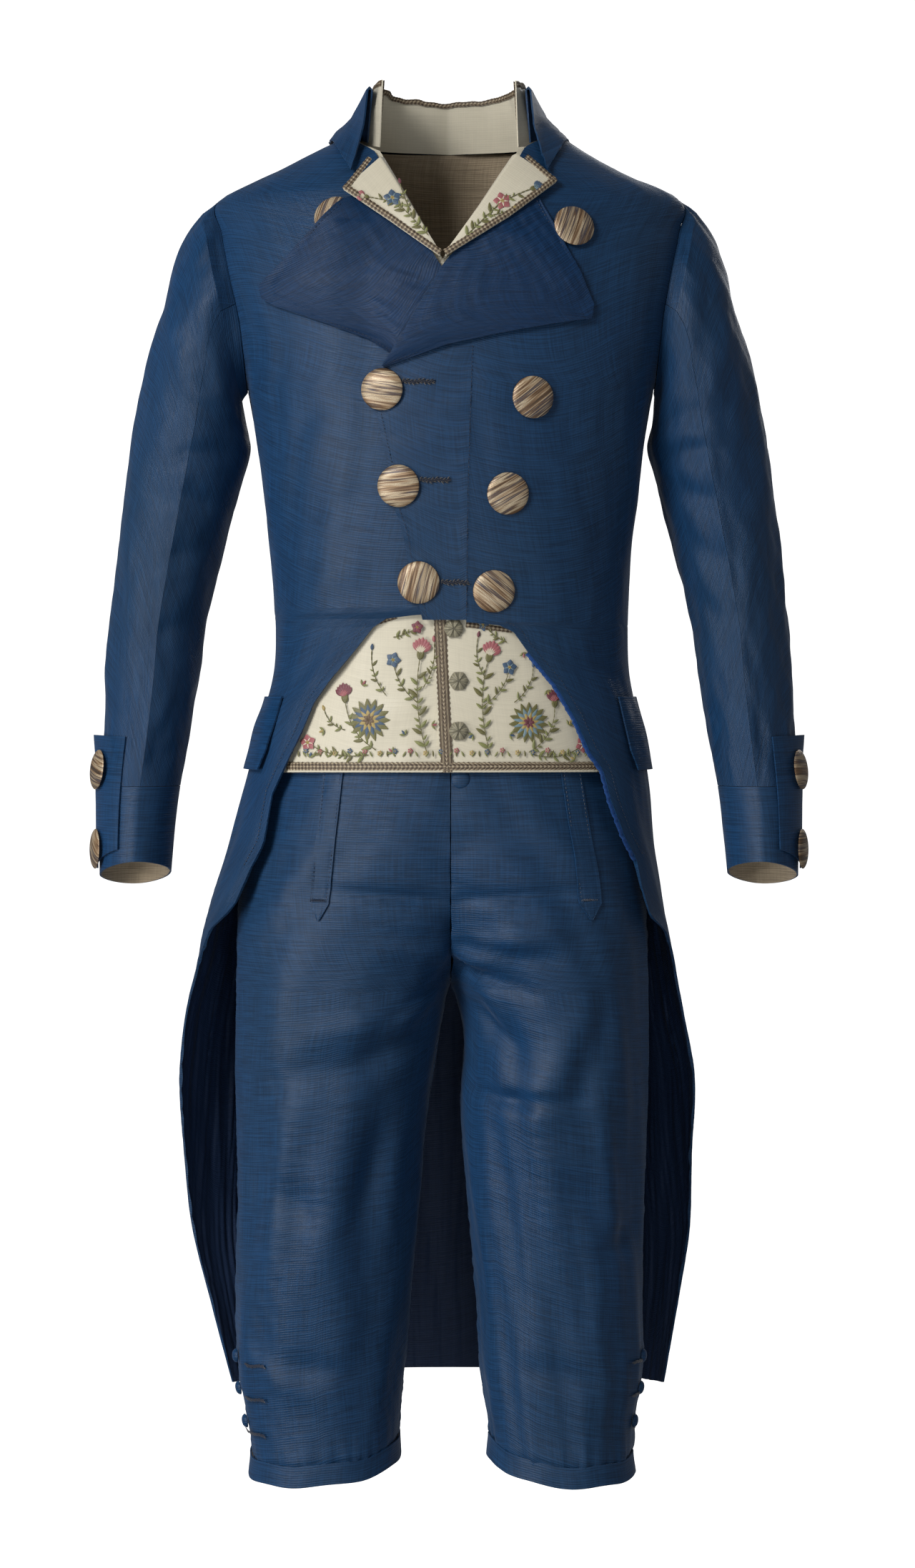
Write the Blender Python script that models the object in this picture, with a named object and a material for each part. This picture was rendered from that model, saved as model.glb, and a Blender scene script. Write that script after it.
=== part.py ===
"""A man's suit of the late eighteenth century: cutaway coat, waistcoat and knee breeches.

The suit keeps the hollow form that it has when it is worn. The origin is the middle of the
neck's base. The front faces -Y, +X is the wearer's left, +Z is up, and all sizes are in metres.

Each garment is a surface worked out from horizontal sections. A section is a ring with a width,
a depth to the front and to the back, and a power that makes it rounder or squarer. A panel is a
stretch of that surface, made into a wall of cloth. What lies on a panel is made from the same
surface, moved out.
"""

import math

import bpy
import bmesh
import numpy as np

for old_object in list(bpy.data.objects):
    bpy.data.objects.remove(old_object, do_unlink=True)

# Driving dimensions
COAT_WALL = 0.0014
LAPEL_WALL = 0.0016
WAISTCOAT_WALL = 0.0012
WAISTCOAT_INSET = 0.0072
BREECHES_WALL = 0.0013
SEAM_GAP = 0.0003
REST_GAP = 0.0004
STRIP_LIFT = 0.0008
STRIP_WALL = 0.0011
COAT_BUTTON_ACROSS = 0.0340
VEST_BUTTON_ACROSS = 0.0150
KNEE_BUTTON_ACROSS = 0.0116
WAISTCOAT_HEM = -0.508
CROTCH_SEAM_X = 0.0015

# Colours: red, green, blue of the cloth or metal
BLUE_SILK = (0.020, 0.060, 0.135)
CREAM_SILK = (0.62, 0.56, 0.42)
BUTTON_METAL = (0.42, 0.33, 0.22)
GREY_THREAD = (0.17, 0.16, 0.12)

# Sections of the coat: half widths to the wearer's right and left, depths and power
# Columns: z, right, left, front, back, power
COAT_SECTIONS = (
    (0.012, 0.0900, 0.0970, 0.0600, 0.0800, 2.00),
    (0.000, 0.1150, 0.1160, 0.0670, 0.0870, 1.90),
    (-0.015, 0.1440, 0.1440, 0.0760, 0.0940, 1.80),
    (-0.037, 0.1890, 0.1900, 0.0870, 0.1010, 1.75),
    (-0.066, 0.1925, 0.1945, 0.0980, 0.1070, 1.90),
    (-0.100, 0.1905, 0.1920, 0.1070, 0.1110, 2.05),
    (-0.150, 0.1775, 0.1810, 0.1170, 0.1120, 2.15),
    (-0.196, 0.1660, 0.1690, 0.1210, 0.1100, 2.20),
    (-0.238, 0.1590, 0.1620, 0.1220, 0.1060, 2.20),
    (-0.285, 0.1530, 0.1560, 0.1200, 0.1010, 2.20),
    (-0.333, 0.1480, 0.1500, 0.1160, 0.0960, 2.20),
    (-0.380, 0.1440, 0.1480, 0.1120, 0.0930, 2.20),
    (-0.428, 0.1460, 0.1490, 0.1110, 0.0960, 2.20),
    (-0.475, 0.1585, 0.1590, 0.1130, 0.1040, 2.20),
    (-0.522, 0.1690, 0.1660, 0.1160, 0.1180, 2.20),
    (-0.570, 0.1820, 0.1710, 0.1190, 0.1330, 2.20),
    (-0.617, 0.1960, 0.1790, 0.1200, 0.1450, 2.20),
    (-0.665, 0.2070, 0.1870, 0.1200, 0.1530, 2.20),
    (-0.712, 0.2200, 0.1960, 0.1180, 0.1570, 2.20),
    (-0.760, 0.2265, 0.2060, 0.1150, 0.1590, 2.20),
    (-0.830, 0.2270, 0.2080, 0.1100, 0.1600, 2.20),
    (-0.902, 0.2245, 0.2110, 0.1050, 0.1590, 2.20),
    (-0.949, 0.2170, 0.2075, 0.1020, 0.1570, 2.20),
    (-1.030, 0.2040, 0.2020, 0.0980, 0.1540, 2.20),
)

# Front edge of each front, as x at a height: the roll line, the buttoned stretch, the cutaway
RIGHT_EDGE = (
    (0.012, -0.082), (0.000, -0.062), (-0.030, -0.0465), (-0.060, -0.0300), (-0.100, -0.0070),
    (-0.130, 0.0120), (-0.160, 0.0280), (-0.220, 0.0320), (-0.300, 0.0320), (-0.3760, 0.0300),
    (-0.3800, 0.0100), (-0.3825, -0.0300), (-0.3850, -0.0510), (-0.392, -0.0620),
    (-0.412, -0.0780), (-0.435, -0.0970), (-0.453, -0.1100), (-0.477, -0.1200),
    (-0.507, -0.1350), (-0.527, -0.1440), (-0.547, -0.1475), (-0.567, -0.1510),
    (-0.588, -0.1620), (-0.615, -0.1740), (-0.640, -0.1940),
)
LEFT_EDGE = (
    (0.012, 0.082), (0.000, 0.062), (-0.030, 0.0465), (-0.060, 0.0300), (-0.0780, 0.0190),
    (-0.180, 0.0185), (-0.280, 0.0150), (-0.3880, 0.0140), (-0.3890, 0.0280), (-0.3905, 0.0410),
    (-0.396, 0.0525), (-0.412, 0.0640), (-0.438, 0.0860), (-0.465, 0.1020), (-0.492, 0.1140),
    (-0.507, 0.1250), (-0.533, 0.1320), (-0.561, 0.1430), (-0.580, 0.1530), (-0.604, 0.1580),
    (-0.626, 0.1650), (-0.642, 0.1760),
)
STRIP_EDGE = (
    (-0.0780, 0.0180), (-0.0935, 0.0010), (-0.103, -0.0060), (-0.140, -0.0280), (-0.186, -0.0540),
    (-0.221, -0.0580), (-0.262, -0.0490), (-0.292, -0.0450), (-0.316, -0.0370), (-0.334, -0.0340),
    (-0.3860, -0.0210),
)
# Below this height the edge passes the side and turns towards the back, in degrees from the front
# Columns: z, degrees
TAIL_TURN = ((-0.668, 90.0), (-0.760, 97.0), (-0.880, 106.0), (-1.030, 116.0))
TAIL_HEM = -1.030
VENT_TOP = -0.440
SKIRT_FOLD_TURN = 140.0
SKIRT_FOLD_WAVES = 10.0
SKIRT_FOLD_SPREAD = 0.34
SKIRT_FOLD_DEPTH = 0.028

ARMHOLE_TOP = -0.037
ARMHOLE_BOTTOM = -0.196
ARMHOLE_HALF_TURN = 20.0
SLEEVE_SEAM_TURN = 97.0
ARMHOLE_GAP = 0.0006
ARMHOLE_TRIM = 0.0002

# Points across each piece, and sides of each round button
FRONT_STEPS = 9
BACK_STEPS = 6
STRIP_STEPS = 5
LAPEL_ROWS = 10
LAPEL_STEPS = 9
VEST_LAPEL_ROWS = 8
COLLAR_STEPS = 19
FLAP_STEPS = 7
CUFF_STEPS = 22
CUFF_ROWS = 4
PLACKET_STEPS = 7
VEST_FRONT_STEPS = 9
VEST_BACK_STEPS = 9
VEST_COLLAR_STEPS = 17
VEST_COLLAR_ROWS = 4
LEG_STEPS = 9
WAISTBAND_STEPS = 13
KNEE_BAND_STEPS = 22
FALL_STEPS = 4
COAT_BUTTON_SIDES = 10
VEST_BUTTON_SIDES = 10
KNEE_BUTTON_SIDES = 8


# Shared ways of making surfaces and walls

def radians(degrees):
    """Turn degrees into radians, for one value or an array."""
    return np.asarray(degrees, dtype=float) * (math.pi / 180.0)


def along(table, place, column):
    """Read a table's column at a place in its first column, in straight lines between rows."""
    rows = np.array(sorted(table), dtype=float)
    return np.interp(place, rows[:, 0], rows[:, column])


def smooth(table, place, column):
    """Read a table's column at a place in its first column, on a smooth curve through the rows."""
    rows = np.array(sorted(table), dtype=float)
    xs, ys = rows[:, 0], rows[:, column]
    slopes = np.gradient(ys, xs)
    place = np.clip(place, xs[0], xs[-1])
    k = np.clip(np.searchsorted(xs, place) - 1, 0, len(xs) - 2)
    width = xs[k + 1] - xs[k]
    t = (place - xs[k]) / width
    ends = (2 * t**3 - 3 * t**2 + 1) * ys[k] + (3 * t**2 - 2 * t**3) * ys[k + 1]
    turns = (t**3 - 2 * t**2 + t) * slopes[k] + (t**3 - t**2) * slopes[k + 1]
    return ends + turns * width


def ease(value, start, end):
    """Rise smoothly from 0 at start to 1 at end."""
    t = np.clip((np.asarray(value, dtype=float) - start) / (end - start), 0.0, 1.0)
    return t * t * (3.0 - 2.0 * t)


def signed_power(value, power):
    """Raise the size of a value to a power and keep its sign."""
    return np.sign(value) * np.abs(value) ** power


def unit(vectors):
    """Give vectors the length 1."""
    return vectors / np.maximum(np.linalg.norm(vectors, axis=-1, keepdims=True), 1e-9)


def outward(base, turn, place, turn_step=0.05, place_step=0.004):
    """Work out the outward direction of a surface base(turn, place) from its two slopes."""
    across = base(turn + turn_step, place) - base(turn - turn_step, place)
    upward = base(turn, place + place_step) - base(turn, place - place_step)
    return unit(np.cross(across, upward))


def grid_outward(grid):
    """Work out the direction of each point of a grid from its neighbours' points."""
    return unit(np.cross(np.gradient(grid, axis=1), np.gradient(grid, axis=0)))


def trim(grids, sides, gap=SEAM_GAP / 2):
    """Draw the named sides of grids in by a gap, along the cloth."""
    for grid in grids:
        if "first" in sides:
            grid[:, 0] += unit(grid[:, 1] - grid[:, 0]) * gap
        if "last" in sides:
            grid[:, -1] += unit(grid[:, -2] - grid[:, -1]) * gap
        if "top" in sides:
            grid[0] += unit(grid[1] - grid[0]) * gap
        if "bottom" in sides:
            grid[-1] += unit(grid[-2] - grid[-1]) * gap


def material(name, colour, roughness=0.5, metallic=0.0):
    """Make a plain material with a Principled shader."""
    made = bpy.data.materials.new(name)
    made.use_nodes = True
    shader = made.node_tree.nodes["Principled BSDF"]
    shader.inputs["Base Color"].default_value = (*colour, 1.0)
    shader.inputs["Roughness"].default_value = roughness
    shader.inputs["Metallic"].default_value = metallic
    return made


def add_object(name, points, faces, colour, roughness=0.5, metallic=0.0):
    """Make a named object from points and faces, with its faces turned outwards."""
    mesh = bpy.data.meshes.new(name)
    mesh.from_pydata([tuple(point) for point in points], [], faces)
    shape = bmesh.new()
    shape.from_mesh(mesh)
    bmesh.ops.recalc_face_normals(shape, faces=shape.faces)
    shape.to_mesh(mesh)
    shape.free()
    mesh.shade_smooth()
    mesh.set_sharp_from_angle(angle=math.radians(40.0))
    mesh.materials.append(material(name, colour, roughness, metallic))
    made = bpy.data.objects.new(name, mesh)
    bpy.context.scene.collection.objects.link(made)
    return made


def wall(name, outer, inner, colour, closed=False):
    """Close an outer and an inner grid of points into one wall of cloth, open or as a tube.

    Both grids are split along the same, shorter diagonals, so that the wall stays even.
    """
    rows, columns = outer.shape[:2]
    points = np.concatenate([outer.reshape(-1, 3), inner.reshape(-1, 3)])
    second = rows * columns
    faces = []
    for row in range(rows - 1):
        for column in range(columns if closed else columns - 1):
            after = (column + 1) % columns
            a, b = row * columns + column, row * columns + after
            c, d = (row + 1) * columns + after, (row + 1) * columns + column
            if np.linalg.norm(points[a] - points[c]) <= np.linalg.norm(points[b] - points[d]):
                halves = ((a, b, c), (a, c, d))
            else:
                halves = ((a, b, d), (b, c, d))
            for half in halves:
                faces.append(half)
                faces.append(tuple(second + k for k in reversed(half)))
    top = list(range(columns))
    bottom = [(rows - 1) * columns + column for column in range(columns)]
    if closed:
        rims = [top + [0], bottom + [bottom[0]]]
    else:
        left = [row * columns for row in range(rows)]
        right = [row * columns + columns - 1 for row in range(rows)]
        rims = [top, bottom, left, right]
    for rim in rims:
        for a, b in zip(rim[:-1], rim[1:]):
            faces.append((a, b, second + b, second + a))
    return add_object(name, points, faces, colour)


def between(first, last, steps):
    """Give evenly spaced values from first to last, where both may be arrays."""
    share = np.linspace(0.0, 1.0, steps)
    first, last = np.asarray(first, dtype=float), np.asarray(last, dtype=float)
    return first[..., None] * (1.0 - share) + last[..., None] * share


# The coat's surface

def skirt_folds(turn, z):
    """Give the soft folds of the tails beside the side seams, as a share of the ring's size."""
    from_seam = np.abs(turn) - radians(SKIRT_FOLD_TURN)
    wave = np.cos(SKIRT_FOLD_WAVES * from_seam) * np.exp(-(from_seam / SKIRT_FOLD_SPREAD) ** 2)
    return SKIRT_FOLD_DEPTH * ease(-z, 0.45, 0.85) * wave


def coat_base(turn, z):
    """Give the coat's surface: turn 0 is the middle of the front, a quarter turn the left side.

    x = middle + half width * sine to the power 2/n, y = depth * cosine to the power 2/n.
    """
    right, left, front, back, power = (smooth(COAT_SECTIONS, z, k) for k in range(1, 6))
    sine, cosine = np.sin(turn), np.cos(turn)
    folds = 1.0 + skirt_folds(turn, z)
    x = (left - right) / 2 + (left + right) / 2 * signed_power(sine, 2.0 / power) * folds
    y = -np.where(cosine > 0, front, back) * signed_power(cosine, 2.0 / power) * folds
    return np.stack([x, y, z + 0.0 * x], axis=-1)


def coat(turn, z, out):
    """Give a point of the coat's surface, moved out."""
    turn, z, out = np.broadcast_arrays(turn, np.asarray(z, dtype=float), out)
    return coat_base(turn, z) + outward(coat_base, turn, z) * out[..., None]


def turn_at(x, z):
    """Give the turn at which the front of the coat has a given x."""
    right, left, power = (smooth(COAT_SECTIONS, z, k) for k in (1, 2, 5))
    share = (x - (left - right) / 2) / ((left + right) / 2)
    return np.arcsin(np.clip(signed_power(share, power / 2.0), -1.0, 1.0))


def armhole_half_turn(z):
    """Give how far the armhole reaches to the front and back of the side, at a height."""
    share = np.clip((ARMHOLE_TOP - z) / (ARMHOLE_TOP - ARMHOLE_BOTTOM), 0.0, 1.0)
    return radians(ARMHOLE_HALF_TURN) * np.sin(math.pi * share) ** 0.6


def side_seam(z):
    """Give the turn of the side seam, which runs from the armhole towards the back."""
    return radians(90.0 + 42.0 * ease(-z, -ARMHOLE_BOTTOM, 0.40))


SIDE_TURNS = radians(np.concatenate([between(0.0, SLEEVE_SEAM_TURN, 6),
                                     between(SLEEVE_SEAM_TURN, 180.0, 5)[1:]]))
ARMHOLE_HEIGHTS = ARMHOLE_TOP + (ARMHOLE_BOTTOM - ARMHOLE_TOP) * (1 - np.cos(SIDE_TURNS)) / 2


SINK_DEPTH = 0.0029
SINK_MORE_UNDER_LAPEL = 0.0012


def sink(x, z):
    """Give how far the right front lies below the left one, where the left one covers it."""
    depth = SINK_DEPTH + SINK_MORE_UNDER_LAPEL * ease(z, -0.215, -0.185)
    return depth * ease(x, -0.100, -0.062)


# The coat's panels

SHOULDER_HEIGHTS = (0.012, 0.000, -0.015)
SKIRT_HEIGHTS = (-0.220, -0.270, -0.325, -0.3760, -0.3800, -0.3825, -0.3850, -0.3880, -0.3905,
                 -0.396, -0.412, -0.436, -0.464, -0.507, -0.547, -0.588, -0.640, -0.700,
                 -0.765, -0.830, -0.900, -0.970, TAIL_HEM)
COAT_HEIGHTS = np.concatenate([SHOULDER_HEIGHTS, ARMHOLE_HEIGHTS, SKIRT_HEIGHTS])


def front_edge(side, z):
    """Give the turn of a front's edge: the table's x, and past the side the tail's own turn."""
    table = LEFT_EDGE if side > 0 else RIGHT_EDGE
    upper = side * turn_at(along(table, z, 1), z)
    return np.where(z < -0.655, radians(along(TAIL_TURN, z, 1)), upper)


def outer_end(z, under_arm):
    """Give the turn where a panel ends at the side: shoulder, armhole edge, then side seam."""
    way = -1.0 if under_arm == "front" else 1.0
    armhole = radians(90.0) + way * armhole_half_turn(z)
    return np.where(z > ARMHOLE_BOTTOM - 1e-6, armhole, side_seam(z))


def coat_front(side):
    """Make one front with its tail. The right one lies lower where the left one covers it."""
    z = COAT_HEIGHTS
    turns = side * between(front_edge(side, z), outer_end(z, "front"), FRONT_STEPS)
    heights = np.repeat(z[:, None], FRONT_STEPS, axis=1)
    flat = coat(turns, heights, np.zeros_like(turns))
    down = sink(flat[..., 0], heights) if side < 0 else np.zeros_like(turns)
    outer, inner = coat(turns, heights, -down), coat(turns, heights, -down - COAT_WALL)
    trim((outer, inner), ("first", "last"))
    arm = slice(len(SHOULDER_HEIGHTS), len(SHOULDER_HEIGHTS) + len(ARMHOLE_HEIGHTS))
    for grid in (outer, inner):
        grid[arm, -1] += unit(grid[arm, -2] - grid[arm, -1]) * ARMHOLE_TRIM
    return wall("coat_front_left" if side > 0 else "coat_front_right", outer, inner, BLUE_SILK)


VENT_REACH_LEFT = 9.5
VENT_REACH_RIGHT = 5.0
VENT_DEPTH = 0.0030


def vent_turn(side, z):
    """Give the turn of a back's inner edge: the back seam, then the vent, where tails overlap."""
    reach = VENT_REACH_LEFT if side > 0 else VENT_REACH_RIGHT
    return radians(180.0 + reach * ease(-z, -VENT_TOP + 0.02, 0.95))


def coat_back(side):
    """Make one back with its tail. The left tail lies inside the right one at the vent."""
    z = COAT_HEIGHTS
    turns = side * between(outer_end(z, "back"), vent_turn(side, z), BACK_STEPS)
    heights = np.repeat(z[:, None], BACK_STEPS, axis=1)
    down = VENT_DEPTH * ease(-heights, -VENT_TOP, 0.50) * ease(np.abs(turns), 2.60, 2.95)
    down = down if side > 0 else down * 0.0
    outer, inner = coat(turns, heights, -down), coat(turns, heights, -down - COAT_WALL)
    trim((outer, inner), ("first", "last"))
    arm = slice(len(SHOULDER_HEIGHTS), len(SHOULDER_HEIGHTS) + len(ARMHOLE_HEIGHTS))
    for grid in (outer, inner):
        grid[arm, 0] += unit(grid[arm, 1] - grid[arm, 0]) * ARMHOLE_TRIM
    return wall("coat_back_left" if side > 0 else "coat_back_right", outer, inner, BLUE_SILK)


def overlap_strip():
    """Make the strip that is sewn on to the left front and buttons over the right one."""
    corners = np.array([row[0] for row in STRIP_EDGE])
    shared = COAT_HEIGHTS[(COAT_HEIGHTS < corners[1]) & (COAT_HEIGHTS > corners[-1] + 0.004)]
    z = np.unique(np.concatenate([corners, shared]))[::-1]
    x = between(along(STRIP_EDGE, z, 1), along(LEFT_EDGE, z, 1), STRIP_STEPS)
    heights = np.repeat(z[:, None], STRIP_STEPS, axis=1)
    turns = turn_at(x, heights)
    outer, inner = coat(turns, heights, 0.0), coat(turns, heights, -COAT_WALL)
    trim((outer, inner), ("first", "last"))
    return wall("coat_overlap_left", outer, inner, BLUE_SILK)


# Lapels of the coat: the roll line and the outer edge in a front view, from the collar down
RIGHT_LAPEL_ROLL = ((-0.0480, -0.0300), (-0.0110, -0.0940), (-0.0010, -0.1090), (-0.0200, -0.1440),
                    (-0.0400, -0.1735))
RIGHT_LAPEL_EDGE = ((-0.0840, -0.0490), (-0.1080, -0.0730), (-0.1270, -0.0910), (-0.1510, -0.1150),
                    (-0.1490, -0.1255), (-0.1360, -0.1330), (-0.1080, -0.1440),
                    (-0.0640, -0.1615), (-0.0425, -0.1755))
LEFT_LAPEL_ROLL = ((0.0480, -0.0300), (0.0275, -0.0640), (-0.0040, -0.1010), (-0.0280, -0.1420),
                   (-0.0530, -0.1830))
LEFT_LAPEL_EDGE = ((0.0690, -0.0400), (0.0870, -0.0740), (0.1040, -0.1050), (0.1150, -0.1320),
                   (0.1130, -0.1440), (0.0890, -0.1480), (0.0380, -0.1580), (-0.0020, -0.1670),
                   (-0.0510, -0.1845))
# Lapels of the waistcoat, turned out over the coat's
RIGHT_VEST_ROLL = ((-0.0520, -0.0120), (-0.0290, -0.0530), (-0.0068, -0.0925))
RIGHT_VEST_EDGE = ((-0.0820, -0.0440), (-0.0450, -0.0690), (-0.0072, -0.0965))
LEFT_VEST_ROLL = ((0.0510, -0.0100), (0.0240, -0.0530), (-0.0028, -0.0925))
LEFT_VEST_EDGE = ((0.0850, -0.0350), (0.0480, -0.0640), (-0.0024, -0.0965))
BURIED_BUTTON = (-0.092, -0.060)
BUMP_HEIGHT = 0.0080
BUMP_INSIDE = 0.0230
BUMP_OUTSIDE = 0.0440
LAPEL_LIFT = 0.0024
LAPEL_REST = 0.0008


def walk(points, steps):
    """Place steps along an outline by its length, for each coordinate."""
    points = np.array(points, dtype=float)
    length = np.concatenate([[0.0], np.cumsum(np.linalg.norm(np.diff(points, axis=0), axis=1))])
    place = np.linspace(0.0, length[-1], steps)
    return np.stack([np.interp(place, length, points[:, k]) for k in range(2)], axis=-1)


def bump(x, z):
    """Give the rise of a lapel over the button that lies under it."""
    away = np.hypot(x - BURIED_BUTTON[0], z - BURIED_BUTTON[1])
    return BUMP_HEIGHT * (1.0 - ease(away, BUMP_INSIDE, BUMP_OUTSIDE))


def lapel_cloth(roll, edge, rows, shares):
    """Spread a front-view grid between a roll line and an outer edge, at the given shares."""
    inner_line, outer_line = walk(roll, rows)[:, None], walk(edge, rows)[:, None]
    share = np.asarray(shares)[None, :, None]
    return inner_line * (1.0 - share) + outer_line * share


def coat_lapel(side):
    """Make one lapel, turned back on the front and standing off it a little in the middle."""
    share = np.linspace(0.0, 1.0, LAPEL_STEPS)
    roll, edge = ((LEFT_LAPEL_ROLL, LEFT_LAPEL_EDGE) if side > 0
                  else (RIGHT_LAPEL_ROLL, RIGHT_LAPEL_EDGE))
    place = lapel_cloth(roll, edge, LAPEL_ROWS, share)
    x, z = place[..., 0], place[..., 1]
    down = np.sin(between(0.0, math.pi, LAPEL_ROWS))[:, None]
    lift = LAPEL_LIFT * np.sin(share * math.pi * 0.75)[None, :] * down
    if side < 0:
        lift = lift * (1.0 - ease(x, -0.120, -0.075)) - sink(x, z) + bump(x, z)
    turns = turn_at(x, z)
    outer = coat(turns, z, LAPEL_REST + LAPEL_WALL + lift)
    inner = coat(turns, z, LAPEL_REST + lift)
    name = "coat_lapel_left" if side > 0 else "coat_lapel_right"
    return wall(name, outer, inner, BLUE_SILK)


# Across a waistcoat lapel: the share from the roll to the edge, and the height on the coat
VEST_LAPEL_SHARES = (0.00, 0.00, 0.00, 0.06, 0.30, 0.65, 1.00)
VEST_LAPEL_LIFTS = (-0.0062, -0.0030, 0.0025, 0.0064, 0.0070, 0.0072, 0.0066)


def vest_lapel(side):
    """Make one lapel of the waistcoat: it comes up inside the coat's edge and turns out over it."""
    roll, edge = ((LEFT_VEST_ROLL, LEFT_VEST_EDGE) if side > 0
                  else (RIGHT_VEST_ROLL, RIGHT_VEST_EDGE))
    share, height = np.array(VEST_LAPEL_SHARES), np.array(VEST_LAPEL_LIFTS)
    place = lapel_cloth(roll, edge, VEST_LAPEL_ROWS, share)
    x, z = place[..., 0], place[..., 1]
    rise = height[None, :] + np.where(share > 0.05, 1.0, 0.0) * bump(x, z) * (side < 0)
    outer = coat(turn_at(x, z), z, rise)
    inner = outer + grid_outward(outer) * WAISTCOAT_WALL * side
    name = "waistcoat_lapel_left" if side > 0 else "waistcoat_lapel_right"
    return wall(name, outer, inner, CREAM_SILK)


# The coat's collar at four places from the middle of the back to its front end, for one side:
# the foot of the stand, the fold, the middle and the edge of the fall
COLLAR_COLUMNS = ("share", "stand_x", "stand_y", "stand_z", "fold_x", "fold_y", "fold_z",
                  "middle_x", "middle_y", "middle_z", "edge_x", "edge_y", "edge_z")
COLLAR_PLACES = (
    (0.00, 0.0000, 0.0755, 0.0130, 0.0000, 0.0715, 0.0520,
     0.0000, 0.0820, 0.0270, 0.0000, 0.0905, 0.0045),
    (0.40, 0.0560, 0.0545, 0.0140, 0.0475, 0.0555, 0.0550,
     0.0570, 0.0640, 0.0300, 0.0670, 0.0720, 0.0070),
    (0.72, 0.0840, 0.0180, 0.0152, 0.0665, 0.0180, 0.0580,
     0.0815, 0.0200, 0.0340, 0.0985, 0.0220, 0.0180),
    (0.86, 0.0795, -0.0050, 0.0136, 0.0663, -0.0020, 0.0565,
     0.0775, -0.0130, 0.0290, 0.0950, -0.0310, 0.0105),
    (1.00, 0.0660, -0.0290, 0.0065, 0.0650, -0.0215, 0.0540,
     0.0700, -0.0430, 0.0190, 0.0800, -0.0714, -0.0200),
)
COLLAR_FOLD_HALF = 0.0027
COLLAR_FOLD_DROP = 0.0030


def coat_collar():
    """Make the collar: a stand that rises round the neck, folds over and falls outside."""
    share = np.linspace(-1.0, 1.0, COLLAR_STEPS)
    at = {name: smooth(COLLAR_PLACES, np.abs(share), k) for k, name in enumerate(COLLAR_COLUMNS)}
    way = np.sign(share)

    def points(part):
        return np.stack([at[part + "_x"] * way, at[part + "_y"], at[part + "_z"]], axis=-1)

    stand, fold, middle, edge = (points(part) for part in ("stand", "fold", "middle", "edge"))
    away = unit(fold * np.array([1.0, 1.0, 0.0]))
    down = np.array([0.0, 0.0, -COLLAR_FOLD_DROP])
    inside, outside = fold - away * COLLAR_FOLD_HALF + down, fold + away * COLLAR_FOLD_HALF + down
    columns = [stand, stand * 0.5 + inside * 0.5, inside, fold, outside,
               outside * 0.5 + middle * 0.5, middle, middle * 0.5 + edge * 0.5, edge]
    outer = np.stack(columns, axis=1)
    inner = outer + grid_outward(outer) * COAT_WALL
    return wall("coat_collar", outer, inner, BLUE_SILK)


# Pocket flaps, as heights and turns on the hips
# Columns: z, front turn, back turn
FLAP_SHAPE = (
    (-0.448, 62.0, 108.0), (-0.470, 62.0, 109.0), (-0.492, 63.0, 110.0), (-0.508, 66.0, 108.0),
)
FLAP_STAND_OFF = 0.0022


def pocket_flap(side):
    """Make a pocket flap, which lies over the hip and stands off a little at its lower edge."""
    shape = np.array(FLAP_SHAPE)
    turns = side * radians(between(shape[:, 1], shape[:, 2], FLAP_STEPS))
    heights = np.repeat(shape[:, :1], FLAP_STEPS, axis=1)
    lift = FLAP_STAND_OFF * ease(-heights, 0.448, 0.508)
    outer = coat(turns, heights, STRIP_LIFT + COAT_WALL + lift)
    inner = coat(turns, heights, STRIP_LIFT + lift)
    return wall("pocket_flap_left" if side > 0 else "pocket_flap_right", outer, inner, BLUE_SILK)


# Buttons: a profile from the middle of the back over the rim to the middle of the dome
BUTTON_PROFILE = ((0.00, 0.00), (0.93, 0.00), (1.00, 0.16), (0.97, 0.34), (0.72, 0.74), (0.38, 0.94),
                  (0.00, 1.00))


def button(name, seat, direction, across, height, colour, sides, metallic=0.0):
    """Turn a button's profile round its direction, with the middle of its back on the seat."""
    direction = unit(np.asarray(direction, dtype=float))
    aside = unit(np.cross(direction, (0.0, 0.0, 1.0)))
    upright = np.cross(aside, direction)
    turns = np.arange(sides) * (2 * math.pi / sides)
    points, faces = [], []
    for radius, rise in BUTTON_PROFILE:
        middle = np.asarray(seat) + direction * rise * height
        if radius == 0.0:
            points.append(middle)
            continue
        for turn in turns:
            arm = aside * math.cos(turn) + upright * math.sin(turn)
            points.append(middle + arm * radius * across / 2)
    last = len(points) - 1
    rings = len(BUTTON_PROFILE) - 2
    for k in range(sides):
        after = (k + 1) % sides
        faces.append((0, 1 + after, 1 + k))
        for ring in range(rings - 1):
            a, b = 1 + ring * sides + k, 1 + ring * sides + after
            faces.append((a, b, b + sides, a + sides))
        faces.append((1 + (rings - 1) * sides + k, 1 + (rings - 1) * sides + after, last))
    return add_object(name, points, faces, colour, 0.35, metallic)


# Front buttons: x, z, and how far the seat lies above the coat's surface
FRONT_BUTTONS = (
    ("coat_button_right_1", -0.0920, -0.0600, 0.0004),
    ("coat_button_left_1", 0.1000, -0.0690, 0.0026),
    ("coat_button_right_2", -0.0530, -0.2020, 0.0006),
    ("coat_button_left_2", 0.0670, -0.2080, -0.0001),
    ("coat_button_right_3", -0.0400, -0.2790, 0.0006),
    ("coat_button_left_3", 0.0470, -0.2850, 0.0006),
    ("coat_button_right_4", -0.0240, -0.3560, 0.0006),
    ("coat_button_left_4", 0.0360, -0.3630, 0.0001),
)
COAT_BUTTON_HEIGHT = 0.0046
CUFF_BUTTON_ACROSS = 0.0330
BUTTON_SHINE = 0.6


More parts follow.
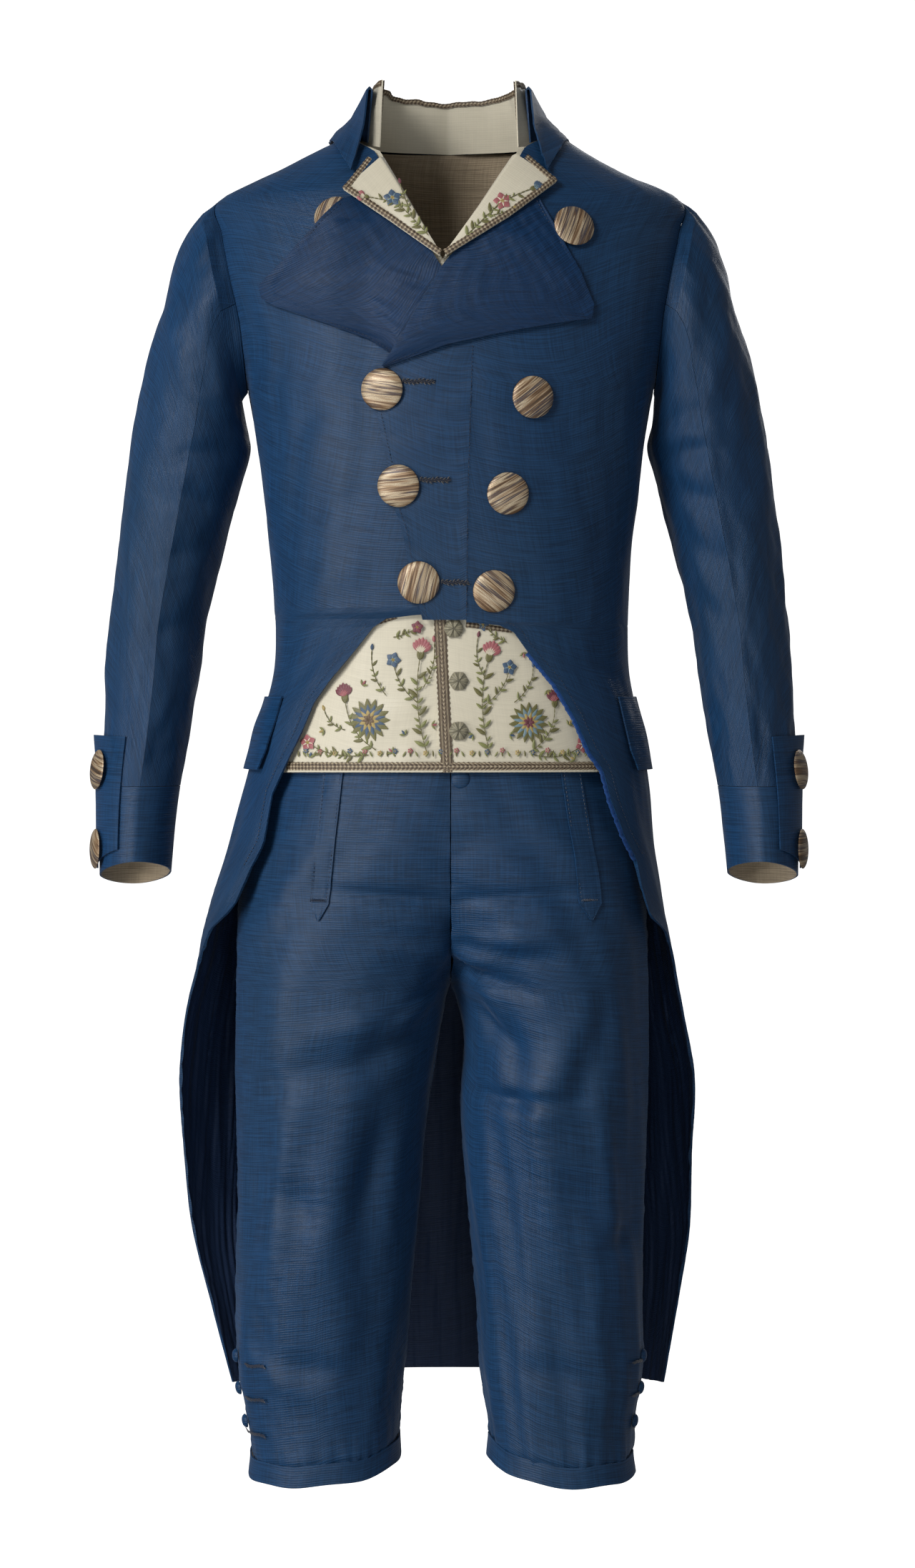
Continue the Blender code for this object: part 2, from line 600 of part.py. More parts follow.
def front_buttons():
    """Make the eight buttons of the coat's front, each lying flat on the cloth."""
    for name, x, z, out in FRONT_BUTTONS:
        turn = turn_at(x, z)
        seat = coat(turn, z, out)
        direction = outward(coat_base, turn, np.asarray(z), 0.12, 0.016)
        button(name, seat, direction, COAT_BUTTON_ACROSS, COAT_BUTTON_HEIGHT, BUTTON_METAL,
               COAT_BUTTON_SIDES, BUTTON_SHINE)


for side in (-1, 1):
    coat_front(side)
    coat_back(side)
    coat_lapel(side)
    vest_lapel(side)
    pocket_flap(side)
overlap_strip()
coat_collar()
front_buttons()


# Sleeves. Each ring lies in a plane through an outer and an inner point, with half a depth and a
# shift to the back. Ring 0 is the armhole itself.
# Columns: ring, outer x, outer z, inner x, inner z, depth, shift, tilt
SLEEVE_RINGS = (
    (1, 0.2040, -0.0480, 0.1710, -0.2030, 0.0520, 0.0020, 0.000),
    (2, 0.2185, -0.0680, 0.1705, -0.2090, 0.0560, 0.0030, 0.000),
    (3, 0.2290, -0.0950, 0.1695, -0.2160, 0.0590, 0.0040, 0.000),
    (4, 0.2360, -0.1220, 0.1680, -0.2240, 0.0610, 0.0060, 0.000),
    (5, 0.2465, -0.1540, 0.1665, -0.2320, 0.0610, 0.0080, 0.000),
    (6, 0.2555, -0.1900, 0.1655, -0.2450, 0.0600, 0.0100, 0.000),
    (7, 0.2630, -0.2380, 0.1720, -0.2680, 0.0585, 0.0120, 0.000),
    (8, 0.2700, -0.2850, 0.1815, -0.3050, 0.0560, 0.0140, 0.000),
    (9, 0.2760, -0.3330, 0.1925, -0.3480, 0.0535, 0.0150, 0.000),
    (10, 0.2810, -0.3800, 0.2025, -0.3900, 0.0505, 0.0140, 0.000),
    (11, 0.2840, -0.4280, 0.2080, -0.4350, 0.0475, 0.0090, 0.000),
    (12, 0.2865, -0.4750, 0.2150, -0.4780, 0.0450, 0.0020, 0.000),
    (13, 0.2890, -0.5210, 0.2225, -0.5210, 0.0425, -0.0060, 0.000),
    (14, 0.2890, -0.5580, 0.2265, -0.5560, 0.0410, -0.0120, 0.009),
    (15, 0.2885, -0.5950, 0.2295, -0.5910, 0.0400, -0.0170, 0.017),
)
SLEEVE_POWER = 1.80
CUFF_SEAM_RING = 13.0
CUFF_END_RING = 15.0


def sleeve_surface(side):
    """Give the surface of one sleeve as a function of turn and ring.

    Turn 0 is the outer side, a quarter turn the front. A point is the middle, plus the arm to the
    outer point * cosine, plus the depth * sine to the front. Between the armhole and ring 1 it
    slides from the one to the other.
    """
    def base(turn, ring):
        turn, ring = np.broadcast_arrays(turn, np.asarray(ring, dtype=float))
        later = np.maximum(ring, 1.0)
        ox, oz, ix, iz, depth, shift, tilt = (smooth(SLEEVE_RINGS, later, k) for k in range(1, 8))
        cosine = signed_power(np.cos(turn), 2.0 / SLEEVE_POWER)
        sine = signed_power(np.sin(turn), 2.0 / SLEEVE_POWER)
        x = side * ((ox + ix) / 2 + (ox - ix) / 2 * cosine)
        z = (oz + iz) / 2 + (oz - iz) / 2 * cosine + tilt * sine
        arm = np.stack([x, shift - depth * sine, z], axis=-1)
        height = ARMHOLE_TOP + (ARMHOLE_BOTTOM - ARMHOLE_TOP) * (1 - np.cos(turn)) / 2
        reach = np.sign(np.sin(turn)) * armhole_half_turn(height)
        hole = coat_base(side * (radians(90.0) - reach), height)
        hole = hole + np.array([side * ARMHOLE_GAP, 0.0, -0.0002])
        share = np.clip(ring, 0.0, 1.0)[..., None]
        return hole * (1.0 - share) + arm * share
    return base


def sleeve(side, turn, ring, out):
    """Give a point of a sleeve, moved out."""
    turn, ring, out = np.broadcast_arrays(turn, np.asarray(ring, dtype=float), out)
    base = sleeve_surface(side)
    return base(turn, ring) + side * outward(base, turn, ring, 0.10, 0.12) * out[..., None]


def sleeve_piece(side, name, turns, rings):
    """Make a stretch of a sleeve between two seams and along the given rings."""
    turn, ring = np.meshgrid(turns, rings)
    outer, inner = sleeve(side, turn, ring, 0.0), sleeve(side, turn, ring, -COAT_WALL)
    trim((outer, inner), ("first", "last", "bottom"))
    return wall(name, outer, inner, BLUE_SILK)


def cuff(side, name):
    """Make the round cuff, a tube whose mouth slants up at the front."""
    turns = np.arange(CUFF_STEPS) * (2 * math.pi / CUFF_STEPS)
    turn, ring = np.meshgrid(turns, np.linspace(CUFF_SEAM_RING, CUFF_END_RING, CUFF_ROWS))
    outer, inner = sleeve(side, turn, ring, 0.0), sleeve(side, turn, ring, -COAT_WALL)
    trim((outer, inner), ("top",))
    return wall(name, outer, inner, BLUE_SILK, closed=True)


# The buttoned placket over the sleeve's slit, as rings and turns with how far its edge stands off
# Columns: ring, front turn, back turn, stand-off
PLACKET_SHAPE = (
    (12.10, 66.0, 4.0, 0.0060), (12.60, 66.0, -6.0, 0.0030), (13.40, 66.0, -8.0, 0.0015),
    (14.10, 66.0, -8.0, 0.0012), (14.80, 66.0, -8.0, 0.0010),
)
# Columns: ring, turn, lift
CUFF_BUTTON_PLACES = ((12.70, 24.0, 0.0021), (14.50, 18.0, 0.0009))
PLACKET_LIFT = 0.0004


def placket(side, name):
    """Make the placket strip on the outer side of a sleeve's end."""
    shape = np.array(PLACKET_SHAPE)
    turns = radians(between(shape[:, 1], shape[:, 2], PLACKET_STEPS))
    rings = np.repeat(shape[:, :1], PLACKET_STEPS, axis=1)
    away = shape[:, 3][:, None] * np.linspace(0.0, 1.0, PLACKET_STEPS)[None, :] ** 2
    outer = sleeve(side, turns, rings, PLACKET_LIFT + COAT_WALL + away)
    inner = sleeve(side, turns, rings, PLACKET_LIFT + away)
    return wall(name, outer, inner, BLUE_SILK)


def cuff_buttons(side, word):
    """Make the two buttons of a cuff, turned out to the side with the placket."""
    base = sleeve_surface(side)
    for number, (ring, turn, lift) in enumerate(CUFF_BUTTON_PLACES, 1):
        turn, ring = radians(turn), np.asarray(ring)
        direction = side * outward(base, turn, ring, 0.45, 0.30)
        seat = sleeve(side, turn, ring, PLACKET_LIFT + COAT_WALL + lift)
        button(f"cuff_button_{word}_{number}", seat, direction, CUFF_BUTTON_ACROSS,
               COAT_BUTTON_HEIGHT, BUTTON_METAL, COAT_BUTTON_SIDES, BUTTON_SHINE)


def sleeves():
    """Make both sleeves, each of an upper and an under piece, with cuff, placket and buttons."""
    upper = np.concatenate([-SIDE_TURNS[5:0:-1], SIDE_TURNS[:6]])
    under = np.concatenate([SIDE_TURNS[5:], 2 * math.pi - SIDE_TURNS[-2:4:-1]])
    rings = np.concatenate([[0.0, 0.5], np.arange(1.0, CUFF_SEAM_RING + 0.5)])
    for side, word in ((-1, "right"), (1, "left")):
        sleeve_piece(side, f"sleeve_upper_{word}", upper, rings)
        sleeve_piece(side, f"sleeve_under_{word}", under, rings)
        cuff(side, f"cuff_{word}")
        placket(side, f"cuff_placket_{word}")
        cuff_buttons(side, word)


sleeves()


# The waistcoat lies inside the coat at an even distance
RIGHT_VEST_FRONT = (
    (0.012, -0.0780), (0.002, -0.0585), (-0.008, -0.0530), (-0.053, -0.0290), (-0.0950, -0.0040),
    (-0.150, 0.0200), (-0.300, 0.0200), (-0.508, 0.0180),
)
LEFT_VEST_FRONT = (
    (0.012, 0.0780), (0.002, 0.0585), (-0.008, 0.0530), (-0.053, 0.0260), (-0.0950, -0.0060),
    (-0.120, -0.0150), (-0.300, -0.0160), (-0.388, -0.0130), (-0.508, -0.0070),
)
VEST_ARMHOLE_TOP = -0.030
VEST_ARMHOLE_BOTTOM = -0.225
VEST_ARMHOLE_REACH = 30.0
VEST_SHOULDER_REACH = 14.0
VEST_LAP_DEPTH = 0.0018
VEST_HEIGHTS = (0.012, 0.002, -0.008, -0.030, -0.053, -0.075, -0.095, -0.120, -0.150, -0.185,
                -0.210, -0.225, -0.270, -0.325, -0.380, -0.430, -0.470, WAISTCOAT_HEM)


def waistcoat(turn, z, out):
    """Give a point of the waistcoat's surface, moved out."""
    return coat(turn, z, np.asarray(out) - WAISTCOAT_INSET)


def vest_side(z):
    """Give how far the waistcoat's armhole reaches from the side, at a height."""
    share = np.clip((VEST_ARMHOLE_TOP - z) / (VEST_ARMHOLE_TOP - VEST_ARMHOLE_BOTTOM), 0.0, 1.0)
    shoulder = radians(VEST_SHOULDER_REACH) * ease(z, -0.060, -0.030)
    return radians(VEST_ARMHOLE_REACH) * np.sin(math.pi * share) ** 0.6 + shoulder


def waistcoat_front(side):
    """Make one front of the waistcoat. The left one buttons over the right one."""
    z = np.array(VEST_HEIGHTS)
    edge = along(LEFT_VEST_FRONT if side > 0 else RIGHT_VEST_FRONT, z, 1)
    turns = between(turn_at(edge, z), side * (radians(90.0) - vest_side(z)), VEST_FRONT_STEPS)
    heights = np.repeat(z[:, None], VEST_FRONT_STEPS, axis=1)
    x = coat(turns, heights, 0.0)[..., 0]
    down = VEST_LAP_DEPTH * ease(x, -0.035, -0.018) if side < 0 else 0.0
    outer = waistcoat(turns, heights, -down)
    inner = waistcoat(turns, heights, -down - WAISTCOAT_WALL)
    trim((outer, inner), ("first", "last"))
    name = "waistcoat_front_left" if side > 0 else "waistcoat_front_right"
    return wall(name, outer, inner, CREAM_SILK)


def waistcoat_back():
    """Make the waistcoat's plain back in one piece."""
    z = np.array(VEST_HEIGHTS)
    reach = radians(90.0) + vest_side(z)
    turns = between(reach, 2 * math.pi - reach, VEST_BACK_STEPS)
    heights = np.repeat(z[:, None], VEST_BACK_STEPS, axis=1)
    outer = waistcoat(turns, heights, 0.0)
    inner = waistcoat(turns, heights, -WAISTCOAT_WALL)
    trim((outer, inner), ("first", "last"))
    return wall("waistcoat_back", outer, inner, CREAM_SILK)


# The waistcoat's standing collar from the middle of the back to its front end, for one side
VEST_COLLAR_COLUMNS = ("share", "foot_x", "foot_y", "foot_z", "top_x", "top_y", "top_z")
VEST_COLLAR_PLACES = (
    (0.00, 0.0000, 0.0722, 0.0100, 0.0000, 0.0635, 0.0520),
    (0.40, 0.0540, 0.0500, 0.0095, 0.0415, 0.0480, 0.0550),
    (0.72, 0.0800, 0.0140, 0.0085, 0.0585, 0.0150, 0.0600),
    (0.86, 0.0720, -0.0150, 0.0060, 0.0580, -0.0050, 0.0600),
    (1.00, 0.0560, -0.0390, 0.0015, 0.0545, -0.0210, 0.0590),
)
VEST_COLLAR_WAVE = 0.0010
VEST_COLLAR_WAVES = 19.0


def waistcoat_collar():
    """Make the standing collar, whose thin upper edge waves a little."""
    share = np.linspace(-1.0, 1.0, VEST_COLLAR_STEPS)
    at = {name: smooth(VEST_COLLAR_PLACES, np.abs(share), k)
          for k, name in enumerate(VEST_COLLAR_COLUMNS)}
    way = np.sign(share)
    foot = np.stack([at["foot_x"] * way, at["foot_y"], at["foot_z"]], axis=-1)
    top = np.stack([at["top_x"] * way, at["top_y"], at["top_z"]], axis=-1)
    inner = between(foot, top, VEST_COLLAR_ROWS).transpose(2, 0, 1)
    wave = VEST_COLLAR_WAVE * np.sin(share * VEST_COLLAR_WAVES)
    inner[..., 0] += np.linspace(0, 1, VEST_COLLAR_ROWS)[:, None] * wave[None, :]
    outer = inner + grid_outward(inner) * -WAISTCOAT_WALL
    return wall("waistcoat_collar", outer, inner, CREAM_SILK)


VEST_BUTTONS = ((0.0040, -0.3930), (0.0080, -0.4350), (0.0080, -0.4750))
VEST_BUTTON_HEIGHT = 0.0042


def waistcoat_buttons():
    """Make the three thread-covered buttons below the coat's front."""
    for number, (x, z) in enumerate(VEST_BUTTONS, 1):
        turn = turn_at(x, z)
        direction = outward(coat_base, turn, np.asarray(z))
        button(f"waistcoat_button_{number}", waistcoat(turn, z, REST_GAP), direction,
               VEST_BUTTON_ACROSS, VEST_BUTTON_HEIGHT, GREY_THREAD, VEST_BUTTON_SIDES)


for side in (-1, 1):
    waistcoat_front(side)
waistcoat_back()
waistcoat_collar()
waistcoat_buttons()


# Breeches. Each leg is a ring between an outer and an inner point. Above the crotch the rings of
# the two legs run into each other and are cut at the middle seam.
# Columns: z, right outer, right inner, left outer, left inner, front, back, shift
LEG_SECTIONS = (
    (-0.446, -0.1340, 0.1300, 0.1370, -0.1330, 0.0960, 0.0860, 0.000),
    (-0.490, -0.1450, 0.1330, 0.1440, -0.1340, 0.1000, 0.0960, 0.000),
    (-0.530, -0.1570, 0.1240, 0.1530, -0.1250, 0.1030, 0.1080, 0.000),
    (-0.570, -0.1680, 0.0980, 0.1600, -0.1000, 0.1050, 0.1180, 0.001),
    (-0.610, -0.1740, 0.0600, 0.1640, -0.0600, 0.1050, 0.1240, 0.003),
    (-0.645, -0.1765, 0.0300, 0.1655, -0.0300, 0.1040, 0.1240, 0.004),
    (-0.672, -0.1770, 0.0080, 0.1655, -0.0060, 0.1020, 0.1200, 0.005),
    (-0.690, -0.1770, -0.0005, 0.1650, 0.0035, 0.1000, 0.1150, 0.005),
    (-0.712, -0.1770, -0.0050, 0.1645, 0.0100, 0.0970, 0.1090, 0.005),
    (-0.791, -0.1765, -0.0180, 0.1640, 0.0100, 0.0890, 0.0960, 0.005),
    (-0.865, -0.1765, -0.0250, 0.1625, 0.0150, 0.0820, 0.0870, 0.005),
    (-0.953, -0.1775, -0.0330, 0.1610, 0.0230, 0.0750, 0.0790, 0.004),
    (-1.012, -0.1755, -0.0370, 0.1600, 0.0260, 0.0690, 0.0730, 0.002),
    (-1.045, -0.1690, -0.0395, 0.1540, 0.0300, 0.0655, 0.0690, 0.001),
    (-1.074, -0.1650, -0.0410, 0.1530, 0.0330, 0.0640, 0.0660, 0.000),
    (-1.092, -0.1665, -0.0400, 0.1550, 0.0310, 0.0645, 0.0665, 0.000),
)
LEG_POWER = 2.15
WAIST_TOP = -0.446
WAIST_SEAM = -0.490
KNEE_SEAM = -1.074
KNEE_HEM = -1.091
BREECHES_HEIGHTS = (WAIST_SEAM, -0.525, -0.565, -0.605, -0.640, -0.668, -0.690, -0.712, -0.750,
                    -0.800, -0.855, -0.910, -0.965, -1.010, -1.045, KNEE_SEAM)
KNEE_DIP = 0.0060


def leg_surface(side):
    """Give the surface of one leg as a function of turn and height.

    Turn 0 is the inner side, a quarter turn the front, a half turn the outer side.
    x = middle - side * radius * cosine, y = shift - depth * sine. The knee dips at the front.
    """
    first = 3 if side > 0 else 1

    def base(turn, z):
        turn, z = np.broadcast_arrays(turn, np.asarray(z, dtype=float))
        outer, inner_x, front, back, shift = (smooth(LEG_SECTIONS, z, k)
                                              for k in (first, first + 1, 5, 6, 7))
        middle, radius = (outer + inner_x) / 2, np.abs(outer - inner_x) / 2
        sine, cosine = np.sin(turn), np.cos(turn)
        x = middle - side * radius * signed_power(cosine, 2.0 / LEG_POWER)
        y = shift - np.where(sine > 0, front, back) * signed_power(sine, 2.0 / LEG_POWER)
        dip = KNEE_DIP * ease(-z, 0.95, 1.074) * sine
        return np.stack([x, y, z - dip], axis=-1)
    return base


def leg(side, turn, z, out):
    """Give a point of a leg, moved out."""
    turn, z, out = np.broadcast_arrays(turn, np.asarray(z, dtype=float), out)
    base = leg_surface(side)
    return base(turn, z) + side * outward(base, turn, z) * out[..., None]


def inner_turn(side, z):
    """Give the turn of a leg's inner edge: the middle seam above the crotch, then the inseam."""
    first = 3 if side > 0 else 1
    outer, inner_x = smooth(LEG_SECTIONS, z, first), smooth(LEG_SECTIONS, z, first + 1)
    middle, radius = (outer + inner_x) / 2, np.abs(outer - inner_x) / 2
    share = np.clip(side * (middle - CROTCH_SEAM_X) / radius, -1.0, 1.0)
    return np.arccos(signed_power(share, LEG_POWER / 2.0))


def breeches_panel(side, which):
    """Make the front or the back of one leg, from the waist seam to the knee band."""
    z = np.array(BREECHES_HEIGHTS)
    inside = inner_turn(side, z)
    if which == "front":
        turns = between(inside, np.full_like(z, math.pi), LEG_STEPS)
    else:
        turns = between(np.full_like(z, math.pi), 2 * math.pi - inside, LEG_STEPS)
    heights = np.repeat(z[:, None], LEG_STEPS, axis=1)
    outer, inner = leg(side, turns, heights, 0.0), leg(side, turns, heights, -BREECHES_WALL)
    trim((outer, inner), ("first", "last", "top", "bottom"))
    name = f"breeches_{which}_{'left' if side > 0 else 'right'}"
    return wall(name, outer, inner, BLUE_SILK)


def waistband():
    """Make the waistband, a ring that closes at the front."""
    z = np.array((WAIST_TOP, (WAIST_TOP + WAIST_SEAM) / 2, WAIST_SEAM))
    halves = []
    for side in (-1, 1):
        inside = inner_turn(side, z)
        turns = between(inside, 2 * math.pi - inside, WAISTBAND_STEPS)
        heights = np.repeat(z[:, None], WAISTBAND_STEPS, axis=1)
        halves.append((leg(side, turns, heights, 0.0), leg(side, turns, heights, -BREECHES_WALL)))
    rings = []
    for right, left in zip(halves[0], halves[1]):
        rings.append(np.concatenate([left[:, :-1], right[:, ::-1][:, :-1]], axis=1))
    trim(rings, ("bottom",))
    return wall("breeches_waistband", rings[0], rings[1], BLUE_SILK, closed=True)


def knee_band(side):
    """Make the band below one knee."""
    turns = np.arange(KNEE_BAND_STEPS) * (2 * math.pi / KNEE_BAND_STEPS)
    turns, z = np.meshgrid(turns, (KNEE_SEAM, (KNEE_SEAM + KNEE_HEM) / 2, KNEE_HEM))
    outer, inner = leg(side, turns, z, 0.0), leg(side, turns, z, -BREECHES_WALL)
    trim((outer, inner), ("top",))
    name = "knee_band_left" if side > 0 else "knee_band_right"
    return wall(name, outer, inner, BLUE_SILK, closed=True)


# Pointed plackets of the fall: the middle line at the top, at the foot of the strip, at the tip
# Columns: z, x, half width
LEFT_FALL = (
    (-0.494, 0.0960, 0.0080), (-0.550, 0.1040, 0.0082), (-0.607, 0.1125, 0.0085),
    (-0.615, 0.1135, 0.0085), (-0.6285, 0.1150, 0.0008),
)
RIGHT_FALL = (
    (-0.494, -0.0910, 0.0080), (-0.550, -0.0970, 0.0078), (-0.607, -0.1040, 0.0078),
    (-0.615, -0.1045, 0.0078), (-0.6285, -0.1055, 0.0008),
)


def leg_turn_at(side, x, z):
    """Give the turn at which the front of a leg has a given x."""
    first = 3 if side > 0 else 1
    outer, inner_x = smooth(LEG_SECTIONS, z, first), smooth(LEG_SECTIONS, z, first + 1)
    share = np.clip(side * ((outer + inner_x) / 2 - x) / (np.abs(outer - inner_x) / 2), -1.0, 1.0)
    return np.arccos(signed_power(share, LEG_POWER / 2.0))


def fall_placket(side):
    """Make one pointed placket strip of the fall, lying on the front."""
    shape = np.array(LEFT_FALL if side > 0 else RIGHT_FALL)
    x = between(shape[:, 1] - shape[:, 2], shape[:, 1] + shape[:, 2], FALL_STEPS)
    z = np.repeat(shape[:, :1], FALL_STEPS, axis=1)
    turns = leg_turn_at(side, x, z)
    outer = leg(side, turns, z, STRIP_LIFT + STRIP_WALL)
    inner = leg(side, turns, z, STRIP_LIFT)
    return wall("fall_placket_left" if side > 0 else "fall_placket_right", outer, inner, BLUE_SILK)


# Columns: z, how far the seat lies above the smooth surface
KNEE_BUTTON_PLACES = ((-0.992, -0.0010), (-1.018, -0.0006), (-1.045, -0.0001))
KNEE_BUTTON_TURN = 164.0
KNEE_BUTTON_HEIGHT = 0.0040
WAIST_BUTTON = (0.0095, -0.5140)
WAIST_BUTTON_HEIGHT = 0.0024


def breeches_buttons():
    """Make three covered buttons above each knee and one at the middle of the waist."""
    for side, word in ((-1, "right"), (1, "left")):
        base = leg_surface(side)
        for number, (z, lift) in enumerate(KNEE_BUTTON_PLACES, 1):
            turn = radians(KNEE_BUTTON_TURN)
            direction = side * outward(base, turn, np.asarray(z))
            button(f"knee_button_{word}_{number}", leg(side, turn, z, lift), direction,
                   KNEE_BUTTON_ACROSS, KNEE_BUTTON_HEIGHT, BLUE_SILK, KNEE_BUTTON_SIDES)
    x, z = WAIST_BUTTON
    turn = leg_turn_at(1, x, z)
    direction = outward(leg_surface(1), turn, np.asarray(z))
    button("waist_button", leg(1, turn, z, REST_GAP), direction, VEST_BUTTON_ACROSS,
           WAIST_BUTTON_HEIGHT, BLUE_SILK, VEST_BUTTON_SIDES)


for side in (-1, 1):
    breeches_panel(side, "front")
    breeches_panel(side, "back")
    knee_band(side)
    fall_placket(side)
waistband()
breeches_buttons()
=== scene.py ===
# %% [markdown]
# A man's suit of the late eighteenth century, dressed for a picture: a cutaway coat of blue shot
# silk, a cream waistcoat worked with flowers, and knee breeches of the coat's silk. The packed
# solids give every size. This lesson puts finely woven cloth, seams, flowers and buttons on them.

# %% Load the frame and keep its box
import math

import bpy
import numpy as np
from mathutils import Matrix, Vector


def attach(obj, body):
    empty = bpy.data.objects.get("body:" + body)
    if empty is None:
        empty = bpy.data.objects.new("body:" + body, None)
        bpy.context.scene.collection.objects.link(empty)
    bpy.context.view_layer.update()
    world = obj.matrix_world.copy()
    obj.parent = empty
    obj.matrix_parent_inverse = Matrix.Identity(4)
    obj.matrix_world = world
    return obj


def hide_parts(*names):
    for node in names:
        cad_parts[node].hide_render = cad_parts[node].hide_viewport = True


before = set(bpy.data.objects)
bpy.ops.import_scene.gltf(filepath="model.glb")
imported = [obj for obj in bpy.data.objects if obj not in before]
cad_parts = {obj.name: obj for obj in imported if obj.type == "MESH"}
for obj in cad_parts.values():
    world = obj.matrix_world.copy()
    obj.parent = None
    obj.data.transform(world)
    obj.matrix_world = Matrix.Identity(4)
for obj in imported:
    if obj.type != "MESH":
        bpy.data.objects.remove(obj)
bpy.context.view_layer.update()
print("nodes in the frame:", len(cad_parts))

# %% [markdown]
# Cloth has no thickness worth drawing by itself, but a coat is read by its form. Each garment is
# a surface built from horizontal rings. A ring has a half width to each side, a depth to the
# front and to the back, and a power that makes it rounder or squarer. Numbers between two rings
# come from a smooth curve, so that no ring shows as an edge.

# %% Small helpers for curves and directions
def radians(degrees):
    """Turn degrees into radians, for one value or an array."""
    return np.asarray(degrees, dtype=float) * (math.pi / 180.0)


def along(table, place, column):
    """Read a table's column at a place in its first column, in straight lines between rows."""
    rows = np.array(sorted(table), dtype=float)
    return np.interp(place, rows[:, 0], rows[:, column])


def smooth(table, place, column):
    """Read a table's column at a place in its first column, on a smooth curve through the rows."""
    rows = np.array(sorted(table), dtype=float)
    xs, ys = rows[:, 0], rows[:, column]
    slopes = np.gradient(ys, xs)
    place = np.clip(place, xs[0], xs[-1])
    k = np.clip(np.searchsorted(xs, place) - 1, 0, len(xs) - 2)
    width = xs[k + 1] - xs[k]
    t = (place - xs[k]) / width
    ends = (2 * t**3 - 3 * t**2 + 1) * ys[k] + (3 * t**2 - 2 * t**3) * ys[k + 1]
    turns = (t**3 - 2 * t**2 + t) * slopes[k] + (t**3 - t**2) * slopes[k + 1]
    return ends + turns * width


def ease(value, start, end):
    """Rise smoothly from 0 at start to 1 at end."""
    t = np.clip((np.asarray(value, dtype=float) - start) / (end - start), 0.0, 1.0)
    return t * t * (3.0 - 2.0 * t)


def signed_power(value, power):
    """Raise the size of a value to a power and keep its sign."""
    return np.sign(value) * np.abs(value) ** power


def unit(vectors):
    """Give vectors the length 1."""
    return vectors / np.maximum(np.linalg.norm(vectors, axis=-1, keepdims=True), 1e-9)


def outward(base, turn, place, turn_step=0.05, place_step=0.004):
    """Work out the outward direction of a surface base(turn, place) from its two slopes."""
    across = base(turn + turn_step, place) - base(turn - turn_step, place)
    upward = base(turn, place + place_step) - base(turn, place - place_step)
    return unit(np.cross(across, upward))


def grid_outward(grid):
    """Work out the direction of each point of a grid from its neighbours' points."""
    return unit(np.cross(np.gradient(grid, axis=1), np.gradient(grid, axis=0)))


def between(first, last, steps):
    """Give evenly spaced values from first to last, where both may be arrays."""
    share = np.linspace(0.0, 1.0, steps)
    first, last = np.asarray(first, dtype=float), np.asarray(last, dtype=float)
    return first[..., None] * (1.0 - share) + last[..., None] * share


def spread(values, count):
    """Repeat a column of values across the given count of a grid's columns."""
    return np.repeat(values[:, None], count, axis=1)


def arcs(grid):
    """Give the lengths along a grid's rows and down its columns, in metres from the first point."""
    across = np.linalg.norm(np.diff(grid, axis=1), axis=-1)
    down = np.linalg.norm(np.diff(grid, axis=0), axis=-1)
    u = np.concatenate([np.zeros((grid.shape[0], 1)), np.cumsum(across, axis=1)], axis=1)
    v = np.concatenate([np.zeros((1, grid.shape[1])), np.cumsum(down, axis=0)], axis=0)
    return u - u.mean(axis=1, keepdims=True), v


def ripple(u, v, seed, size_u, size_v, waves=7):
    """Give a soft uneven relief between about -1 and 1: a sum of sines with seeded directions."""
    draw = np.random.default_rng(seed)
    total = np.zeros(np.broadcast(u, v).shape)
    for _ in range(waves):
        ku, kv = draw.normal(0.0, 1.0, 2)
        phase = draw.uniform(0.0, 2.0 * math.pi)
        total = total + np.sin(2.0 * math.pi * (ku * u / size_u + kv * v / size_v) + phase)
    return total / math.sqrt(waves)


def crease_relief(points, base, creases, side=1.0):
    """Raise or sink a surface along creases.

    Each crease runs between two places of the surface. The relief is its depth, times a bell over
    the distance from the crease, times a taper towards its ends.
    """
    relief = np.zeros(points.shape[:-1])
    steps = np.linspace(0.0, 1.0, 22)
    taper = np.sin(math.pi * (0.04 + 0.92 * steps)) ** 0.7
    for first_a, first_b, last_a, last_b, width, depth in creases:
        path = base(side * radians(first_a + (last_a - first_a) * steps),
                    first_b + (last_b - first_b) * steps)
        away = np.linalg.norm(points[..., None, :] - path, axis=-1)
        bell = np.exp(-(away / width) ** 2) * taper
        relief = relief + depth * bell.max(axis=-1)
    return relief

